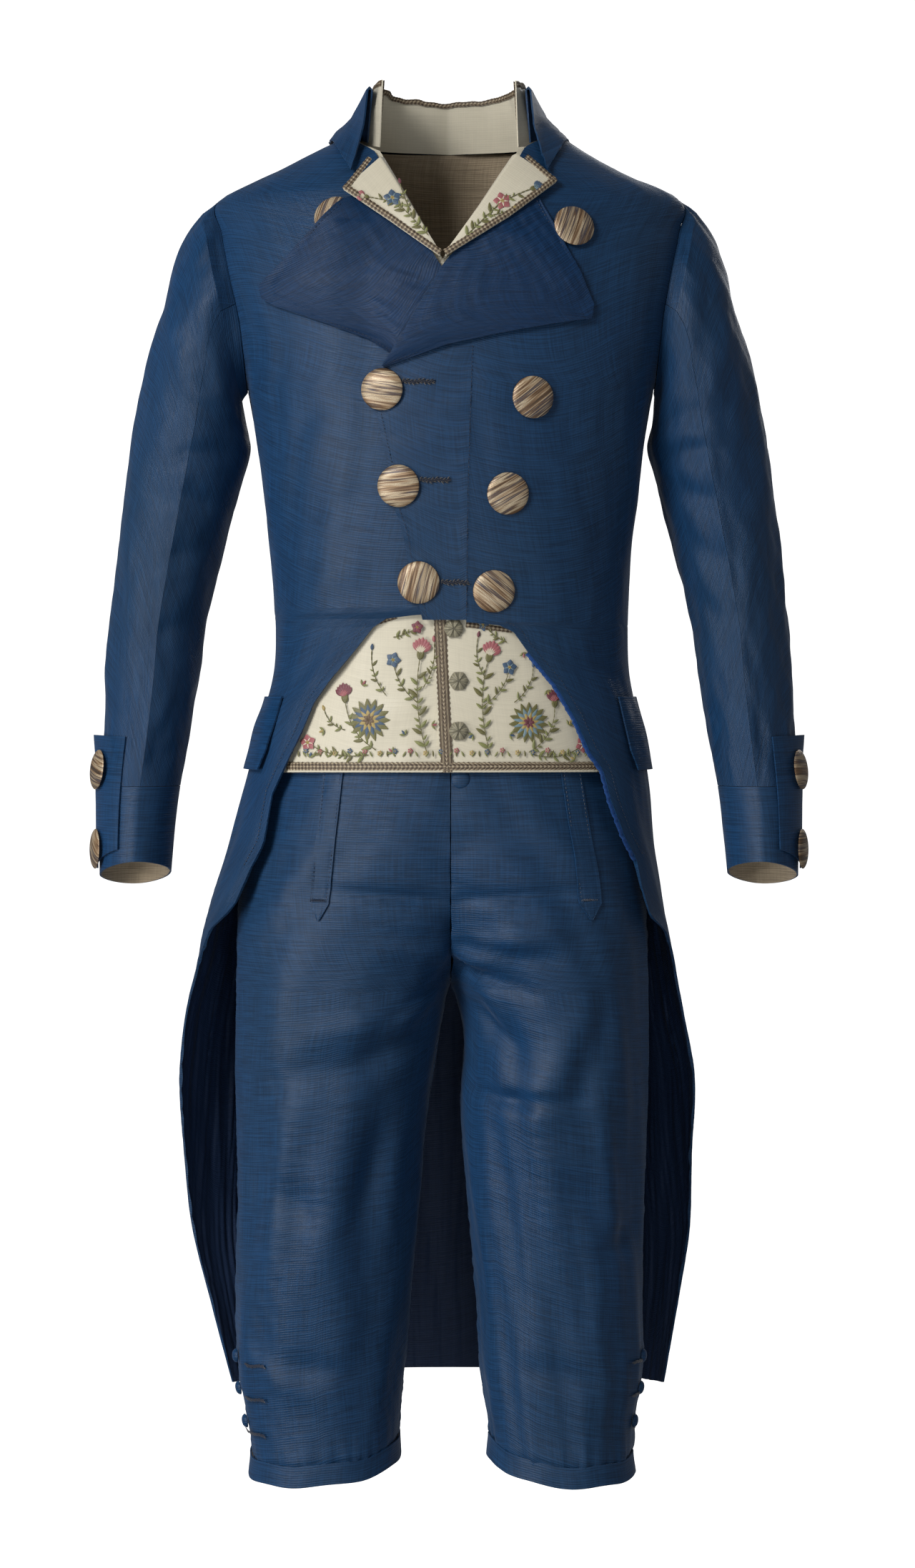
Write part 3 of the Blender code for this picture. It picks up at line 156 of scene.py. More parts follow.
# %% Turn grids of points into walls of cloth
def shape_from_grids(name, grids, looks, closed=False, grain=0.0):
    """Make one mesh of an outer and an inner grid: quads on both, and quads round the rims.

    The UV map holds lengths along the cloth in metres, so a weave has its real size everywhere.
    Grain turns the weave on the cloth, as when a piece is cut on the slant.
    """
    outer, inner = grids
    rows, columns = outer.shape[:2]
    index = np.arange(rows * columns).reshape(rows, columns)
    if closed:
        index = np.concatenate([index, index[:, :1]], axis=1)
    quads = np.stack([index[:-1, :-1], index[:-1, 1:], index[1:, 1:], index[1:, :-1]], axis=-1)
    quads = quads.reshape(-1, 4)
    second = rows * columns
    rims = [index[0], index[-1]] + ([] if closed else [index[:, 0], index[:, -1]])
    rim_quads = []
    for number, rim in enumerate(rims):
        quad = np.stack([rim[:-1], rim[1:], rim[1:] + second, rim[:-1] + second], axis=-1)
        rim_quads.append(quad[:, ::-1] if number in (0, 3) else quad)
    faces = np.concatenate([quads, quads[:, ::-1] + second] + [q[:, ::-1] for q in rim_quads])
    slots = np.concatenate([np.zeros(len(quads)), np.ones(len(quads)),
                            np.zeros(len(faces) - 2 * len(quads))]).astype(np.int32)
    points = np.concatenate([outer.reshape(-1, 3), inner.reshape(-1, 3)])
    a, b, d = points[quads[:, 0]], points[quads[:, 1]], points[quads[:, 3]]
    facing = np.einsum("ij,ij->i", np.cross(b - a, d - a), a - points[quads[:, 0] + second]).sum()
    if facing < 0:
        faces = faces[:, ::-1]
    u, v = arcs(outer)
    turned = (u * math.cos(grain) - v * math.sin(grain), u * math.sin(grain) + v * math.cos(grain))
    flat = np.stack(turned, axis=-1).reshape(-1, 2)
    return make_mesh(name, points, faces, np.concatenate([flat, flat]), slots, looks)


def make_mesh(name, points, faces, flat, slots, looks):
    """Fill a new mesh object from arrays: points, four-sided faces, UVs per point, slots."""
    mesh = bpy.data.meshes.new(name)
    mesh.vertices.add(len(points))
    mesh.vertices.foreach_set("co", np.ascontiguousarray(points, dtype=np.float32).ravel())
    mesh.loops.add(faces.size)
    mesh.loops.foreach_set("vertex_index", np.ascontiguousarray(faces, dtype=np.int32).ravel())
    mesh.polygons.add(len(faces))
    mesh.polygons.foreach_set("loop_start", np.arange(0, faces.size, 4, dtype=np.int32))
    mesh.polygons.foreach_set("material_index", slots)
    mesh.update(calc_edges=True)
    layer = mesh.uv_layers.new(name="cloth")
    layer.data.foreach_set("uv", np.ascontiguousarray(flat[faces.ravel()], dtype=np.float32).ravel())
    for look in looks:
        mesh.materials.append(look)
    mesh.shade_smooth()
    mesh.set_sharp_from_angle(angle=math.radians(50.0))
    made = bpy.data.objects.new(name, mesh)
    bpy.context.scene.collection.objects.link(made)
    return made


def dress(name, nodes, grids, looks, closed=False, grain=0.0):
    """Make a piece of cloth, let it ride on the suit and stand for its node, which it hides."""
    made = shape_from_grids(name, grids, looks, closed, grain)
    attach(made, "root")
    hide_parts(*nodes)
    return made

# %% [markdown]
# Silk shows two colours at once when warp and weft are dyed apart. Here the warp is blue and the
# weft is tan, so the cloth is greyer where it faces the eye and bluer towards the rim of each form.
# Threads of uneven thickness, called slubs, run across each width as short dark lines.

# %% Shader node groups for woven cloth
def new_group(name, inputs, outputs):
    """Start a shader node group with the given sockets."""
    tree = bpy.data.node_groups.new(name, "ShaderNodeTree")
    for label, kind in inputs:
        tree.interface.new_socket(label, in_out="INPUT", socket_type=kind)
    for label, kind in outputs:
        tree.interface.new_socket(label, in_out="OUTPUT", socket_type=kind)
    return tree, tree.nodes.new("NodeGroupInput"), tree.nodes.new("NodeGroupOutput")


def noise(tree, vector, stretch, detail=2.0, roughness=0.5):
    """Add a noise texture over a vector stretched along its axes, and give its value socket."""
    scaled = tree.nodes.new("ShaderNodeVectorMath")
    scaled.operation = "MULTIPLY"
    scaled.inputs[1].default_value = stretch
    tree.links.new(vector, scaled.inputs[0])
    texture = tree.nodes.new("ShaderNodeTexNoise")
    texture.inputs["Scale"].default_value = 1.0
    texture.inputs["Detail"].default_value = detail
    texture.inputs["Roughness"].default_value = roughness
    tree.links.new(scaled.outputs[0], texture.inputs["Vector"])
    return texture.outputs["Fac"]


def remap(tree, value, low, high, first=0.0, last=1.0):
    """Map a value between two limits to a new range, and clamp it."""
    node = tree.nodes.new("ShaderNodeMapRange")
    for socket, number in zip(("From Min", "From Max", "To Min", "To Max"), (low, high, first, last)):
        node.inputs[socket].default_value = number
    tree.links.new(value, node.inputs["Value"])
    return node.outputs["Result"]


def math_node(tree, operation, first, second):
    """Add a math node with a socket or a number on each input."""
    node = tree.nodes.new("ShaderNodeMath")
    node.operation = operation
    for number, value in enumerate((first, second)):
        if isinstance(value, (int, float)):
            node.inputs[number].default_value = value
        else:
            tree.links.new(value, node.inputs[number])
    return node.outputs[0]


def blend(tree, factor, first, second, kind="MIX"):
    """Mix two colours, each a socket or three numbers, by a factor socket or number."""
    node = tree.nodes.new("ShaderNodeMix")
    node.data_type = "RGBA"
    node.blend_type = kind
    for socket, value in ((node.inputs[0], factor), (node.inputs[6], first), (node.inputs[7], second)):
        if isinstance(value, (int, float)):
            socket.default_value = value
        elif isinstance(value, tuple):
            socket.default_value = (*value, 1.0)
        else:
            tree.links.new(value, socket)
    return node.outputs[2]


RIB_SPACING = 0.0019
RIB_TURNS = 2 * math.pi / RIB_SPACING


def weave_group():
    """Make the group of ribbed cloth: a height of ribs and slubs, and a tone of slubs, painted rib shade and
    fading.
    """
    tree, start, end = new_group("ribbed_cloth", [("Cloth", "NodeSocketVector"),
                                                  ("Place", "NodeSocketVector")],
                                 [("Height", "NodeSocketFloat"), ("Tone", "NodeSocketFloat"),
                                  ("Fade", "NodeSocketFloat")])
    slubs = noise(tree, start.outputs["Cloth"], (26.0, 620.0, 1.0), 3.0, 0.62)
    fine = noise(tree, start.outputs["Cloth"], (150.0, 1700.0, 1.0), 1.0)
    warp = noise(tree, start.outputs["Cloth"], (900.0, 26.0, 1.0), 1.0)
    parts = tree.nodes.new("ShaderNodeSeparateXYZ")
    tree.links.new(start.outputs["Cloth"], parts.inputs[0])
    wander = math_node(tree, "MULTIPLY", slubs, 9.0)
    rib_phase = math_node(tree, "ADD", math_node(tree, "MULTIPLY", parts.outputs[1], RIB_TURNS), wander)
    ribs = math_node(tree, "SINE", rib_phase, 0.0)
    height = math_node(tree, "ADD", math_node(tree, "MULTIPLY", slubs, 0.55),
                       math_node(tree, "MULTIPLY", fine, 0.30))
    height = math_node(tree, "ADD", height, math_node(tree, "MULTIPLY", ribs, 0.13))
    tone = math_node(tree, "ADD", math_node(tree, "MULTIPLY", slubs, 0.64),
                     math_node(tree, "MULTIPLY", warp, 0.36))
    # The ribs also make the tone darker in their grooves and lighter on their crests: painted shade and
    # painted highlight.
    tone = math_node(tree, "ADD", tone, math_node(tree, "MULTIPLY", ribs, 0.045))
    fade = remap(tree, noise(tree, start.outputs["Place"], (7.0, 7.0, 4.5), 4.0), 0.36, 0.66)
    tree.links.new(height, end.inputs["Height"])
    tree.links.new(remap(tree, tone, 0.38, 0.62), end.inputs["Tone"])
    tree.links.new(fade, end.inputs["Fade"])
    return tree


ribbed = weave_group()

# %% Silk, lining, satin, braid, thread and metal-thread looks
def start_material(name, roughness, metallic=0.0):
    """Make a material, and give it with its tree, its shader and its UV socket."""
    made = bpy.data.materials.new(name)
    made.use_nodes = True
    tree = made.node_tree
    shader = tree.nodes["Principled BSDF"]
    shader.inputs["Roughness"].default_value = roughness
    shader.inputs["Metallic"].default_value = metallic
    flat = tree.nodes.new("ShaderNodeUVMap")
    flat.uv_map = "cloth"
    return made, tree, shader, flat.outputs[0]


def bump_by(tree, shader, height, strength, distance):
    """Give a shader fine relief from a height socket."""
    node = tree.nodes.new("ShaderNodeBump")
    node.inputs["Strength"].default_value = strength
    node.inputs["Distance"].default_value = distance
    tree.links.new(height, node.inputs["Height"])
    tree.links.new(node.outputs[0], shader.inputs["Normal"])


def silk(name, deep, lit, faded, slub=0.35, roughness=0.46, sheen=0.22, relief=0.5, turn=0.55,
         folds=0.0):
    """Make ribbed shot silk, greyer where it faces the eye and bluer towards the rim of each form."""
    made, tree, shader, flat = start_material(name, roughness)
    place = tree.nodes.new("ShaderNodeTexCoord").outputs["Object"]
    weave = tree.nodes.new("ShaderNodeGroup")
    weave.node_tree = ribbed
    tree.links.new(flat, weave.inputs["Cloth"])
    tree.links.new(place, weave.inputs["Place"])
    rim = tree.nodes.new("ShaderNodeLayerWeight")
    rim.inputs["Blend"].default_value = 0.35
    colour = blend(tree, math_node(tree, "MULTIPLY", rim.outputs["Facing"], turn), deep, lit)
    colour = blend(tree, math_node(tree, "MULTIPLY", weave.outputs["Fade"], 0.42), colour, faded)
    dark = remap(tree, weave.outputs["Tone"], 0.0, 1.0, 1.0 - slub, 1.0 + slub * 0.8)
    tinted = tree.nodes.new("ShaderNodeVectorMath")
    tinted.operation = "SCALE"
    tree.links.new(colour, tinted.inputs[0])
    tree.links.new(dark, tinted.inputs["Scale"])
    tree.links.new(tinted.outputs[0], shader.inputs["Base Color"])
    shader.inputs["Specular IOR Level"].default_value = 0.30
    shader.inputs["Specular Tint"].default_value = (0.86, 0.90, 1.0, 1.0)
    shader.inputs["Anisotropic"].default_value = 0.45
    shader.inputs["Sheen Weight"].default_value = sheen
    shader.inputs["Sheen Roughness"].default_value = 0.38
    shader.inputs["Sheen Tint"].default_value = (0.62, 0.72, 0.84, 1.0)
    height = weave.outputs["Height"]
    if folds:
        hanging = noise(tree, place, (62.0, 62.0, 5.0), 2.0)
        height = math_node(tree, "ADD", height, math_node(tree, "MULTIPLY", hanging, folds))
    bump_by(tree, shader, height, relief, 0.0008)
    return made


blue_silk = silk("blue_silk", (0.0060, 0.0315, 0.0830), (0.0026, 0.045, 0.145), (0.011, 0.035, 0.074),
                 slub=0.34, roughness=0.46, sheen=0.10, relief=0.50, turn=1.0)
# The lapels take the coat's blue silk with darker colours, which are painted shade, and with more roughness
# and less sheen.
shaded_lapel_silk = silk("shaded_lapel_silk", (0.0030, 0.0220, 0.0680), (0.0016, 0.024, 0.084), (0.005, 0.024, 0.060),
                  slub=0.36, roughness=0.52, sheen=0.05, relief=0.60, turn=1.0)
tail_lining = silk("tail_lining", (0.012, 0.027, 0.070), (0.016, 0.040, 0.110), (0.013, 0.030, 0.078),
                   slub=0.15, roughness=0.52, sheen=0.03, relief=0.6, folds=14.0)
edge_lining = silk("edge_lining", (0.010, 0.050, 0.190), (0.030, 0.080, 0.230), (0.020, 0.060, 0.190),
                   slub=0.12, roughness=0.34, sheen=0.12, relief=0.2)
linen = silk("linen_lining", (0.42, 0.34, 0.24), (0.50, 0.42, 0.32), (0.34, 0.27, 0.18),
             slub=0.22, roughness=0.85, sheen=0.15, relief=0.6)
cream_satin = silk("cream_satin", (0.60, 0.56, 0.45), (0.66, 0.62, 0.53), (0.52, 0.47, 0.35),
                   slub=0.05, roughness=0.40, sheen=0.16, relief=0.15)


def braid_material():
    """Make woven braid: brown and cream threads crossing on the slant, with a darker ground."""
    made, tree, shader, flat = start_material("braid", 0.62)
    parts = tree.nodes.new("ShaderNodeSeparateXYZ")
    tree.links.new(flat, parts.inputs[0])
    across = math_node(tree, "MULTIPLY", parts.outputs[0], 1150.0)
    along_it = math_node(tree, "MULTIPLY", parts.outputs[1], 900.0)
    one = math_node(tree, "SINE", math_node(tree, "ADD", along_it, across), 0.0)
    two = math_node(tree, "SINE", math_node(tree, "SUBTRACT", along_it, across), 0.0)
    cross = remap(tree, math_node(tree, "MULTIPLY", one, two), -0.35, 0.85)
    tuft = noise(tree, flat, (900.0, 500.0, 1.0), 2.0)
    colour = blend(tree, cross, (0.035, 0.020, 0.012), (0.42, 0.35, 0.24))
    colour = blend(tree, remap(tree, tuft, 0.45, 0.62, 0.0, 0.6), colour, (0.16, 0.11, 0.065))
    tree.links.new(colour, shader.inputs["Base Color"])
    bump_by(tree, shader, math_node(tree, "ADD", cross, tuft), 0.7, 0.0004)
    return made


def thread_material():
    """Make embroidery floss: each stitch keeps its own colour, with a fine lengthwise twist."""
    made, tree, shader, flat = start_material("floss", 0.44)
    tint = tree.nodes.new("ShaderNodeAttribute")
    tint.attribute_name = "floss"
    strands = noise(tree, flat, (260.0, 5200.0, 1.0), 1.0)
    shade = remap(tree, strands, 0.3, 0.7, 0.66, 1.18)
    scaled = tree.nodes.new("ShaderNodeVectorMath")
    scaled.operation = "SCALE"
    tree.links.new(tint.outputs["Color"], scaled.inputs[0])
    tree.links.new(shade, scaled.inputs["Scale"])
    tree.links.new(scaled.outputs[0], shader.inputs["Base Color"])
    shader.inputs["Sheen Weight"].default_value = 0.25
    bump_by(tree, shader, strands, 0.5, 0.0002)
    return made


def button_material():
    """Make the covering of the large buttons: strips of metal, tan and blue thread side by side."""
    made, tree, shader, flat = start_material("metal_thread", 0.36, 0.25)
    strips = noise(tree, flat, (150.0, 7.0, 1.0), 3.0, 0.72)
    ramp = tree.nodes.new("ShaderNodeValToRGB")
    ramp.color_ramp.interpolation = "LINEAR"
    stops = ((0.34, (0.030, 0.022, 0.018)), (0.41, (0.120, 0.062, 0.030)), (0.455, (0.330, 0.220, 0.125)),
             (0.50, (0.560, 0.470, 0.330)), (0.535, (0.130, 0.075, 0.040)), (0.575, (0.026, 0.034, 0.065)),
             (0.63, (0.400, 0.310, 0.200)))
    while len(ramp.color_ramp.elements) < len(stops):
        ramp.color_ramp.elements.new(0.5)
    for element, (position, colour) in zip(ramp.color_ramp.elements, stops):
        element.position = position
        element.color = (*colour, 1.0)
    tree.links.new(strips, ramp.inputs[0])
    grain = noise(tree, flat, (900.0, 2600.0, 1.0), 2.0)
    colour = blend(tree, remap(tree, grain, 0.4, 0.62, 0.0, 0.45), ramp.outputs[0], (0.19, 0.13, 0.08))
    tree.links.new(colour, shader.inputs["Base Color"])
    bump_by(tree, shader, math_node(tree, "ADD", strips, math_node(tree, "MULTIPLY", grain, 0.4)),
            0.6, 0.0006)
    return made


braid = braid_material()
floss = thread_material()
metal_thread = button_material()
print("materials:", len(bpy.data.materials))

# %% [markdown]
# The coat first. These are the sections of its surface, from the neck down to the hem of the
# tails, then the front edges: the roll line, the buttoned stretch and the long cutaway curve.

# %% Sizes and sections of the coat
COAT_WALL = 0.0014
LAPEL_WALL = 0.0016
WAISTCOAT_INSET = 0.0072
BREECHES_WALL = 0.0013
STRIP_LIFT = 0.0008
STRIP_WALL = 0.0011
CROTCH_SEAM_X = 0.0015
# Columns: z, right, left, front, back, power
COAT_SECTIONS = (
    (0.012, 0.0900, 0.0970, 0.0600, 0.0800, 2.00),
    (0.000, 0.1150, 0.1160, 0.0670, 0.0870, 1.90),
    (-0.015, 0.1440, 0.1440, 0.0760, 0.0940, 1.80),
    (-0.037, 0.1890, 0.1900, 0.0870, 0.1010, 1.75),
    (-0.066, 0.1925, 0.1945, 0.0980, 0.1070, 1.90),
    (-0.100, 0.1905, 0.1920, 0.1070, 0.1110, 2.05),
    (-0.150, 0.1775, 0.1810, 0.1170, 0.1120, 2.15),
    (-0.196, 0.1660, 0.1690, 0.1210, 0.1100, 2.20),
    (-0.238, 0.1590, 0.1620, 0.1220, 0.1060, 2.20),
    (-0.285, 0.1530, 0.1560, 0.1200, 0.1010, 2.20),
    (-0.333, 0.1480, 0.1500, 0.1160, 0.0960, 2.20),
    (-0.380, 0.1440, 0.1480, 0.1120, 0.0930, 2.20),
    (-0.428, 0.1460, 0.1490, 0.1110, 0.0960, 2.20),
    (-0.475, 0.1585, 0.1590, 0.1130, 0.1040, 2.20),
    (-0.522, 0.1690, 0.1660, 0.1160, 0.1180, 2.20),
    (-0.570, 0.1820, 0.1710, 0.1190, 0.1330, 2.20),
    (-0.617, 0.1960, 0.1790, 0.1200, 0.1450, 2.20),
    (-0.665, 0.2070, 0.1870, 0.1200, 0.1530, 2.20),
    (-0.712, 0.2200, 0.1960, 0.1180, 0.1570, 2.20),
    (-0.760, 0.2265, 0.2060, 0.1150, 0.1590, 2.20),
    (-0.830, 0.2270, 0.2080, 0.1100, 0.1600, 2.20),
    (-0.902, 0.2245, 0.2110, 0.1050, 0.1590, 2.20),
    (-0.949, 0.2170, 0.2075, 0.1020, 0.1570, 2.20),
    (-1.030, 0.2040, 0.2020, 0.0980, 0.1540, 2.20),
)
# Columns: z, x
RIGHT_EDGE = (
    (0.012, -0.082), (0.000, -0.062), (-0.030, -0.0465), (-0.060, -0.0300), (-0.100, -0.0070),
    (-0.130, 0.0120), (-0.160, 0.0280), (-0.220, 0.0320), (-0.300, 0.0320), (-0.3760, 0.0300),
    (-0.3800, 0.0100), (-0.3825, -0.0300), (-0.3850, -0.0510), (-0.392, -0.0620),
    (-0.412, -0.0780), (-0.435, -0.0970), (-0.453, -0.1100), (-0.477, -0.1200),
    (-0.507, -0.1350), (-0.527, -0.1440), (-0.547, -0.1475), (-0.567, -0.1510),
    (-0.588, -0.1620), (-0.615, -0.1740), (-0.640, -0.1940),
)
LEFT_EDGE = (
    (0.012, 0.082), (0.000, 0.062), (-0.030, 0.0465), (-0.060, 0.0300), (-0.0780, 0.0190),
    (-0.180, 0.0185), (-0.280, 0.0150), (-0.3880, 0.0140), (-0.3890, 0.0280), (-0.3905, 0.0410),
    (-0.396, 0.0525), (-0.412, 0.0640), (-0.438, 0.0860), (-0.465, 0.1020), (-0.492, 0.1140),
    (-0.507, 0.1250), (-0.533, 0.1320), (-0.561, 0.1430), (-0.580, 0.1530), (-0.604, 0.1580),
    (-0.626, 0.1650), (-0.642, 0.1760),
)
STRIP_EDGE = (
    (-0.0780, 0.0180), (-0.0935, 0.0010), (-0.103, -0.0060), (-0.140, -0.0280), (-0.186, -0.0540),
    (-0.221, -0.0580), (-0.262, -0.0490), (-0.292, -0.0450), (-0.316, -0.0370), (-0.334, -0.0340),
    (-0.3860, -0.0210),
)
# Columns: z, degrees from the front
TAIL_TURN = ((-0.668, 90.0), (-0.760, 97.0), (-0.880, 106.0), (-1.030, 116.0))
TAIL_HEM = -1.030
VENT_TOP = -0.440
SKIRT_FOLD_TURN = 140.0
SKIRT_FOLD_WAVES = 10.0
SKIRT_FOLD_SPREAD = 0.34
SKIRT_FOLD_DEPTH = 0.028
ARMHOLE_TOP = -0.037
ARMHOLE_BOTTOM = -0.196
ARMHOLE_HALF_TURN = 20.0
ARMHOLE_GAP = 0.0006


def skirt_folds(turn, z):
    """Give the soft folds of the tails beside the side seams, as a share of the ring's size."""
    from_seam = np.abs(turn) - radians(SKIRT_FOLD_TURN)
    wave = np.cos(SKIRT_FOLD_WAVES * from_seam) * np.exp(-(from_seam / SKIRT_FOLD_SPREAD) ** 2)
    return SKIRT_FOLD_DEPTH * ease(-z, 0.45, 0.85) * wave


def coat_base(turn, z):
    """Give the coat's surface: turn 0 is the middle of the front, a quarter turn the left side.

    x = middle + half width * sine to the power 2/n, y = depth * cosine to the power 2/n.
    """
    right, left, front, back, power = (smooth(COAT_SECTIONS, z, k) for k in range(1, 6))
    sine, cosine = np.sin(turn), np.cos(turn)
    folds = 1.0 + skirt_folds(turn, z)
    x = (left - right) / 2 + (left + right) / 2 * signed_power(sine, 2.0 / power) * folds
    y = -np.where(cosine > 0, front, back) * signed_power(cosine, 2.0 / power) * folds
    return np.stack([x, y, z + 0.0 * x], axis=-1)


def coat(turn, z, out):
    """Give a point of the coat's surface, moved out."""
    turn, z, out = np.broadcast_arrays(turn, np.asarray(z, dtype=float), out)
    return coat_base(turn, z) + outward(coat_base, turn, z) * out[..., None]


def turn_at(x, z):
    """Give the turn at which the front of the coat has a given x."""
    right, left, power = (smooth(COAT_SECTIONS, z, k) for k in (1, 2, 5))
    share = (x - (left - right) / 2) / ((left + right) / 2)
    return np.arcsin(np.clip(signed_power(share, power / 2.0), -1.0, 1.0))


def armhole_half_turn(z):
    """Give how far the armhole reaches to the front and back of the side, at a height."""
    share = np.clip((ARMHOLE_TOP - z) / (ARMHOLE_TOP - ARMHOLE_BOTTOM), 0.0, 1.0)
    return radians(ARMHOLE_HALF_TURN) * np.sin(math.pi * share) ** 0.6


def side_seam(z):
    """Give the turn of the side seam, which runs from the armhole towards the back."""
    return radians(90.0 + 42.0 * ease(-z, -ARMHOLE_BOTTOM, 0.40))


SINK_DEPTH = 0.0029
SINK_MORE_UNDER_LAPEL = 0.0012


def sink(x, z):
    """Give how far the right front lies below the left one, where the left one covers it."""
    depth = SINK_DEPTH + SINK_MORE_UNDER_LAPEL * ease(z, -0.215, -0.185)
    return depth * ease(x, -0.100, -0.062)


def front_edge(side, z):
    """Give the turn of a front's edge: the table's x, easing into the tail's own turn."""
    table = LEFT_EDGE if side > 0 else RIGHT_EDGE
    upper = side * turn_at(along(table, z, 1), z)
    into_tail = ease(-z, 0.622, 0.676)
    return upper * (1.0 - into_tail) + radians(along(TAIL_TURN, z, 1)) * into_tail


def outer_end(z, under_arm):
    """Give the turn where a panel ends: the shoulder, just under the sleeve's edge, the side seam."""
    way = -1.0 if under_arm == "front" else 1.0
    armhole = radians(90.0) + way * np.maximum(armhole_half_turn(z) - 0.011, 0.0)
    return np.where(z > ARMHOLE_BOTTOM - 1e-6, armhole, side_seam(z))


VENT_REACH_LEFT = 9.5
VENT_REACH_RIGHT = 5.0
VENT_DEPTH = 0.0030


def vent_turn(side, z):
    """Give the turn of a back's inner edge: the back seam, then the vent, where tails overlap."""
    reach = VENT_REACH_LEFT if side > 0 else VENT_REACH_RIGHT
    return radians(180.0 + reach * ease(-z, -VENT_TOP + 0.02, 0.95))

# %% [markdown]
# Now the coat's panels. Each one is a fine grid of the same surface. A few creases are listed, each
# between two places, and small puckers run along the sewn edges. The inner face gets its own
# relief, because the tails show their lining, which hangs in upright wrinkles.

# %% Fronts, backs and the buttoned strip
# Columns: first turn, first z, last turn, last z, width, depth
LEFT_FRONT_CREASES = (
    (12.0, -0.205, 52.0, -0.255, 0.0110, -0.0015), (20.0, -0.262, 70.0, -0.330, 0.0130, -0.0016),
    (6.0, -0.305, 46.0, -0.338, 0.0090, -0.0011), (30.0, -0.345, 80.0, -0.405, 0.0120, 0.0015),
    (60.0, -0.225, 84.0, -0.300, 0.0140, 0.0016), (44.0, -0.412, 74.0, -0.440, 0.0100, -0.0014),
    (70.0, -0.520, 92.0, -0.640, 0.0200, -0.0028), (100.0, -0.700, 116.0, -0.960, 0.0230, 0.0037),
)
RIGHT_FRONT_CREASES = (
    (28.0, -0.200, 66.0, -0.262, 0.0120, -0.0016), (24.0, -0.285, 60.0, -0.310, 0.0100, -0.0014),
    (26.0, -0.338, 76.0, -0.395, 0.0130, 0.0016), (50.0, -0.230, 82.0, -0.318, 0.0140, 0.0018),
    (40.0, -0.405, 70.0, -0.450, 0.0110, -0.0014), (66.0, -0.500, 88.0, -0.610, 0.0180, -0.0026),
    (98.0, -0.690, 112.0, -0.930, 0.0220, 0.0039), (82.0, -0.540, 96.0, -0.700, 0.0150, 0.0023),
)
BACK_CREASES = (
    (112.0, -0.230, 150.0, -0.330, 0.0160, -0.0022), (120.0, -0.350, 160.0, -0.410, 0.0140, 0.0018),
    (136.0, -0.560, 140.0, -0.960, 0.0180, 0.0050), (156.0, -0.500, 162.0, -0.940, 0.0220, -0.0045),
)


def coat_rows(fine):
    """Give heights from the neck to the hem, closer together where the fronts end at the waist."""
    arm = ARMHOLE_TOP + (ARMHOLE_BOTTOM - ARMHOLE_TOP) * (1 - np.cos(np.linspace(0, math.pi, 42))) / 2
    return np.concatenate([np.linspace(0.012, ARMHOLE_TOP, 16)[:-1], arm,
                           np.linspace(ARMHOLE_BOTTOM, -0.3730, 44)[1:],
                           np.linspace(-0.3730, -0.4000, fine)[1:],
                           np.linspace(-0.4000, TAIL_HEM, 150)[1:]])


def wrinkles(turns, heights, seed, start=0.42, depth=0.0011):
    """Give the upright wrinkles of a hanging lining: narrow folds that wander and fade."""
    u = turns * 0.17
    wander = 0.006 * np.sin(heights * 17.0 + seed)
    fold = ripple(u + wander, heights, seed, 0.016, 0.65, 6)
    return depth * fold * ease(-heights, start, start + 0.16)


def pucker(away, v, seed, reach=0.008, depth=0.0004):
    """Give the small uneven waves that a line of stitches draws into cloth beside it."""
    waves = ripple(0.0 * v, v, seed, 1.0, 0.013, 5)
    return depth * waves * np.exp(-(away / reach) ** 2)


def panel_grids(base_turns, heights, side, creases, seed):
    """Give a coat panel's plain grid, its turns, and its relief of creases, puckers and ripples."""
    turns = side * base_turns
    plain = coat_base(turns, heights)
    u, v = arcs(plain)
    from_first, from_last = u - u[:, :1], u[:, -1:] - u
    relief = crease_relief(plain, coat_base, creases, side)
    relief = relief + 0.0006 * ripple(u, v, seed, 0.07, 0.34)
    relief = relief + 0.00022 * ripple(u, v, seed + 1, 0.03, 0.09)
    relief = relief + pucker(from_first, v, seed + 2) + pucker(from_last, v, seed + 3, 0.010, 0.0005)
    hold = np.minimum(1.0, 0.25 + np.minimum(from_first, from_last) / 0.012)
    relief = relief * hold
    return plain, turns, relief


def coat_front_grids(side):
    """Give one front with its tail, lower where the left one covers the right."""
    z = coat_rows(66)
    base_turns = between(front_edge(side, z), outer_end(z, "front"), 58)
    heights = spread(z, 58)
    creases = LEFT_FRONT_CREASES if side > 0 else RIGHT_FRONT_CREASES
    plain, turns, relief = panel_grids(base_turns, heights, side, creases, 11 if side > 0 else 23)
    under_lapel = ease(heights, -0.200, -0.170) * ease(-np.abs(plain[..., 0]), -0.150, -0.110)
    covered = ease(plain[..., 0], -0.085, -0.055) if side < 0 else 0.0
    relief = relief * (1.0 - 0.85 * under_lapel) * (1.0 - 0.8 * covered)
    down = sink(plain[..., 0], heights) if side < 0 else 0.0 * turns
    inside = wrinkles(turns, heights, 5 if side > 0 else 8)
    outer = coat(turns, heights, relief - down)
    return outer, coat(turns, heights, relief - down - COAT_WALL - np.abs(inside))


def coat_back_grids(side):
    """Give one back with its tail, the left one inside the right at the vent."""
    z = coat_rows(12)
    base_turns = between(outer_end(z, "back"), vent_turn(side, z), 40)
    heights = spread(z, 40)
    _, turns, relief = panel_grids(base_turns, heights, side, BACK_CREASES, 31 if side > 0 else 37)
    down = (side > 0) * VENT_DEPTH * ease(-heights, -VENT_TOP, 0.50) * ease(np.abs(turns), 2.60, 2.95)
    near_vent = ease(np.abs(turns), 2.55, 2.85)
    relief = relief * (1.0 - 0.85 * near_vent)
    inside = wrinkles(turns, heights, 14 if side > 0 else 19, 0.42, 0.0014) * (1.0 - 0.7 * near_vent)
    outer = coat(turns, heights, relief - down)
    return outer, coat(turns, heights, relief - down - COAT_WALL - np.abs(inside))


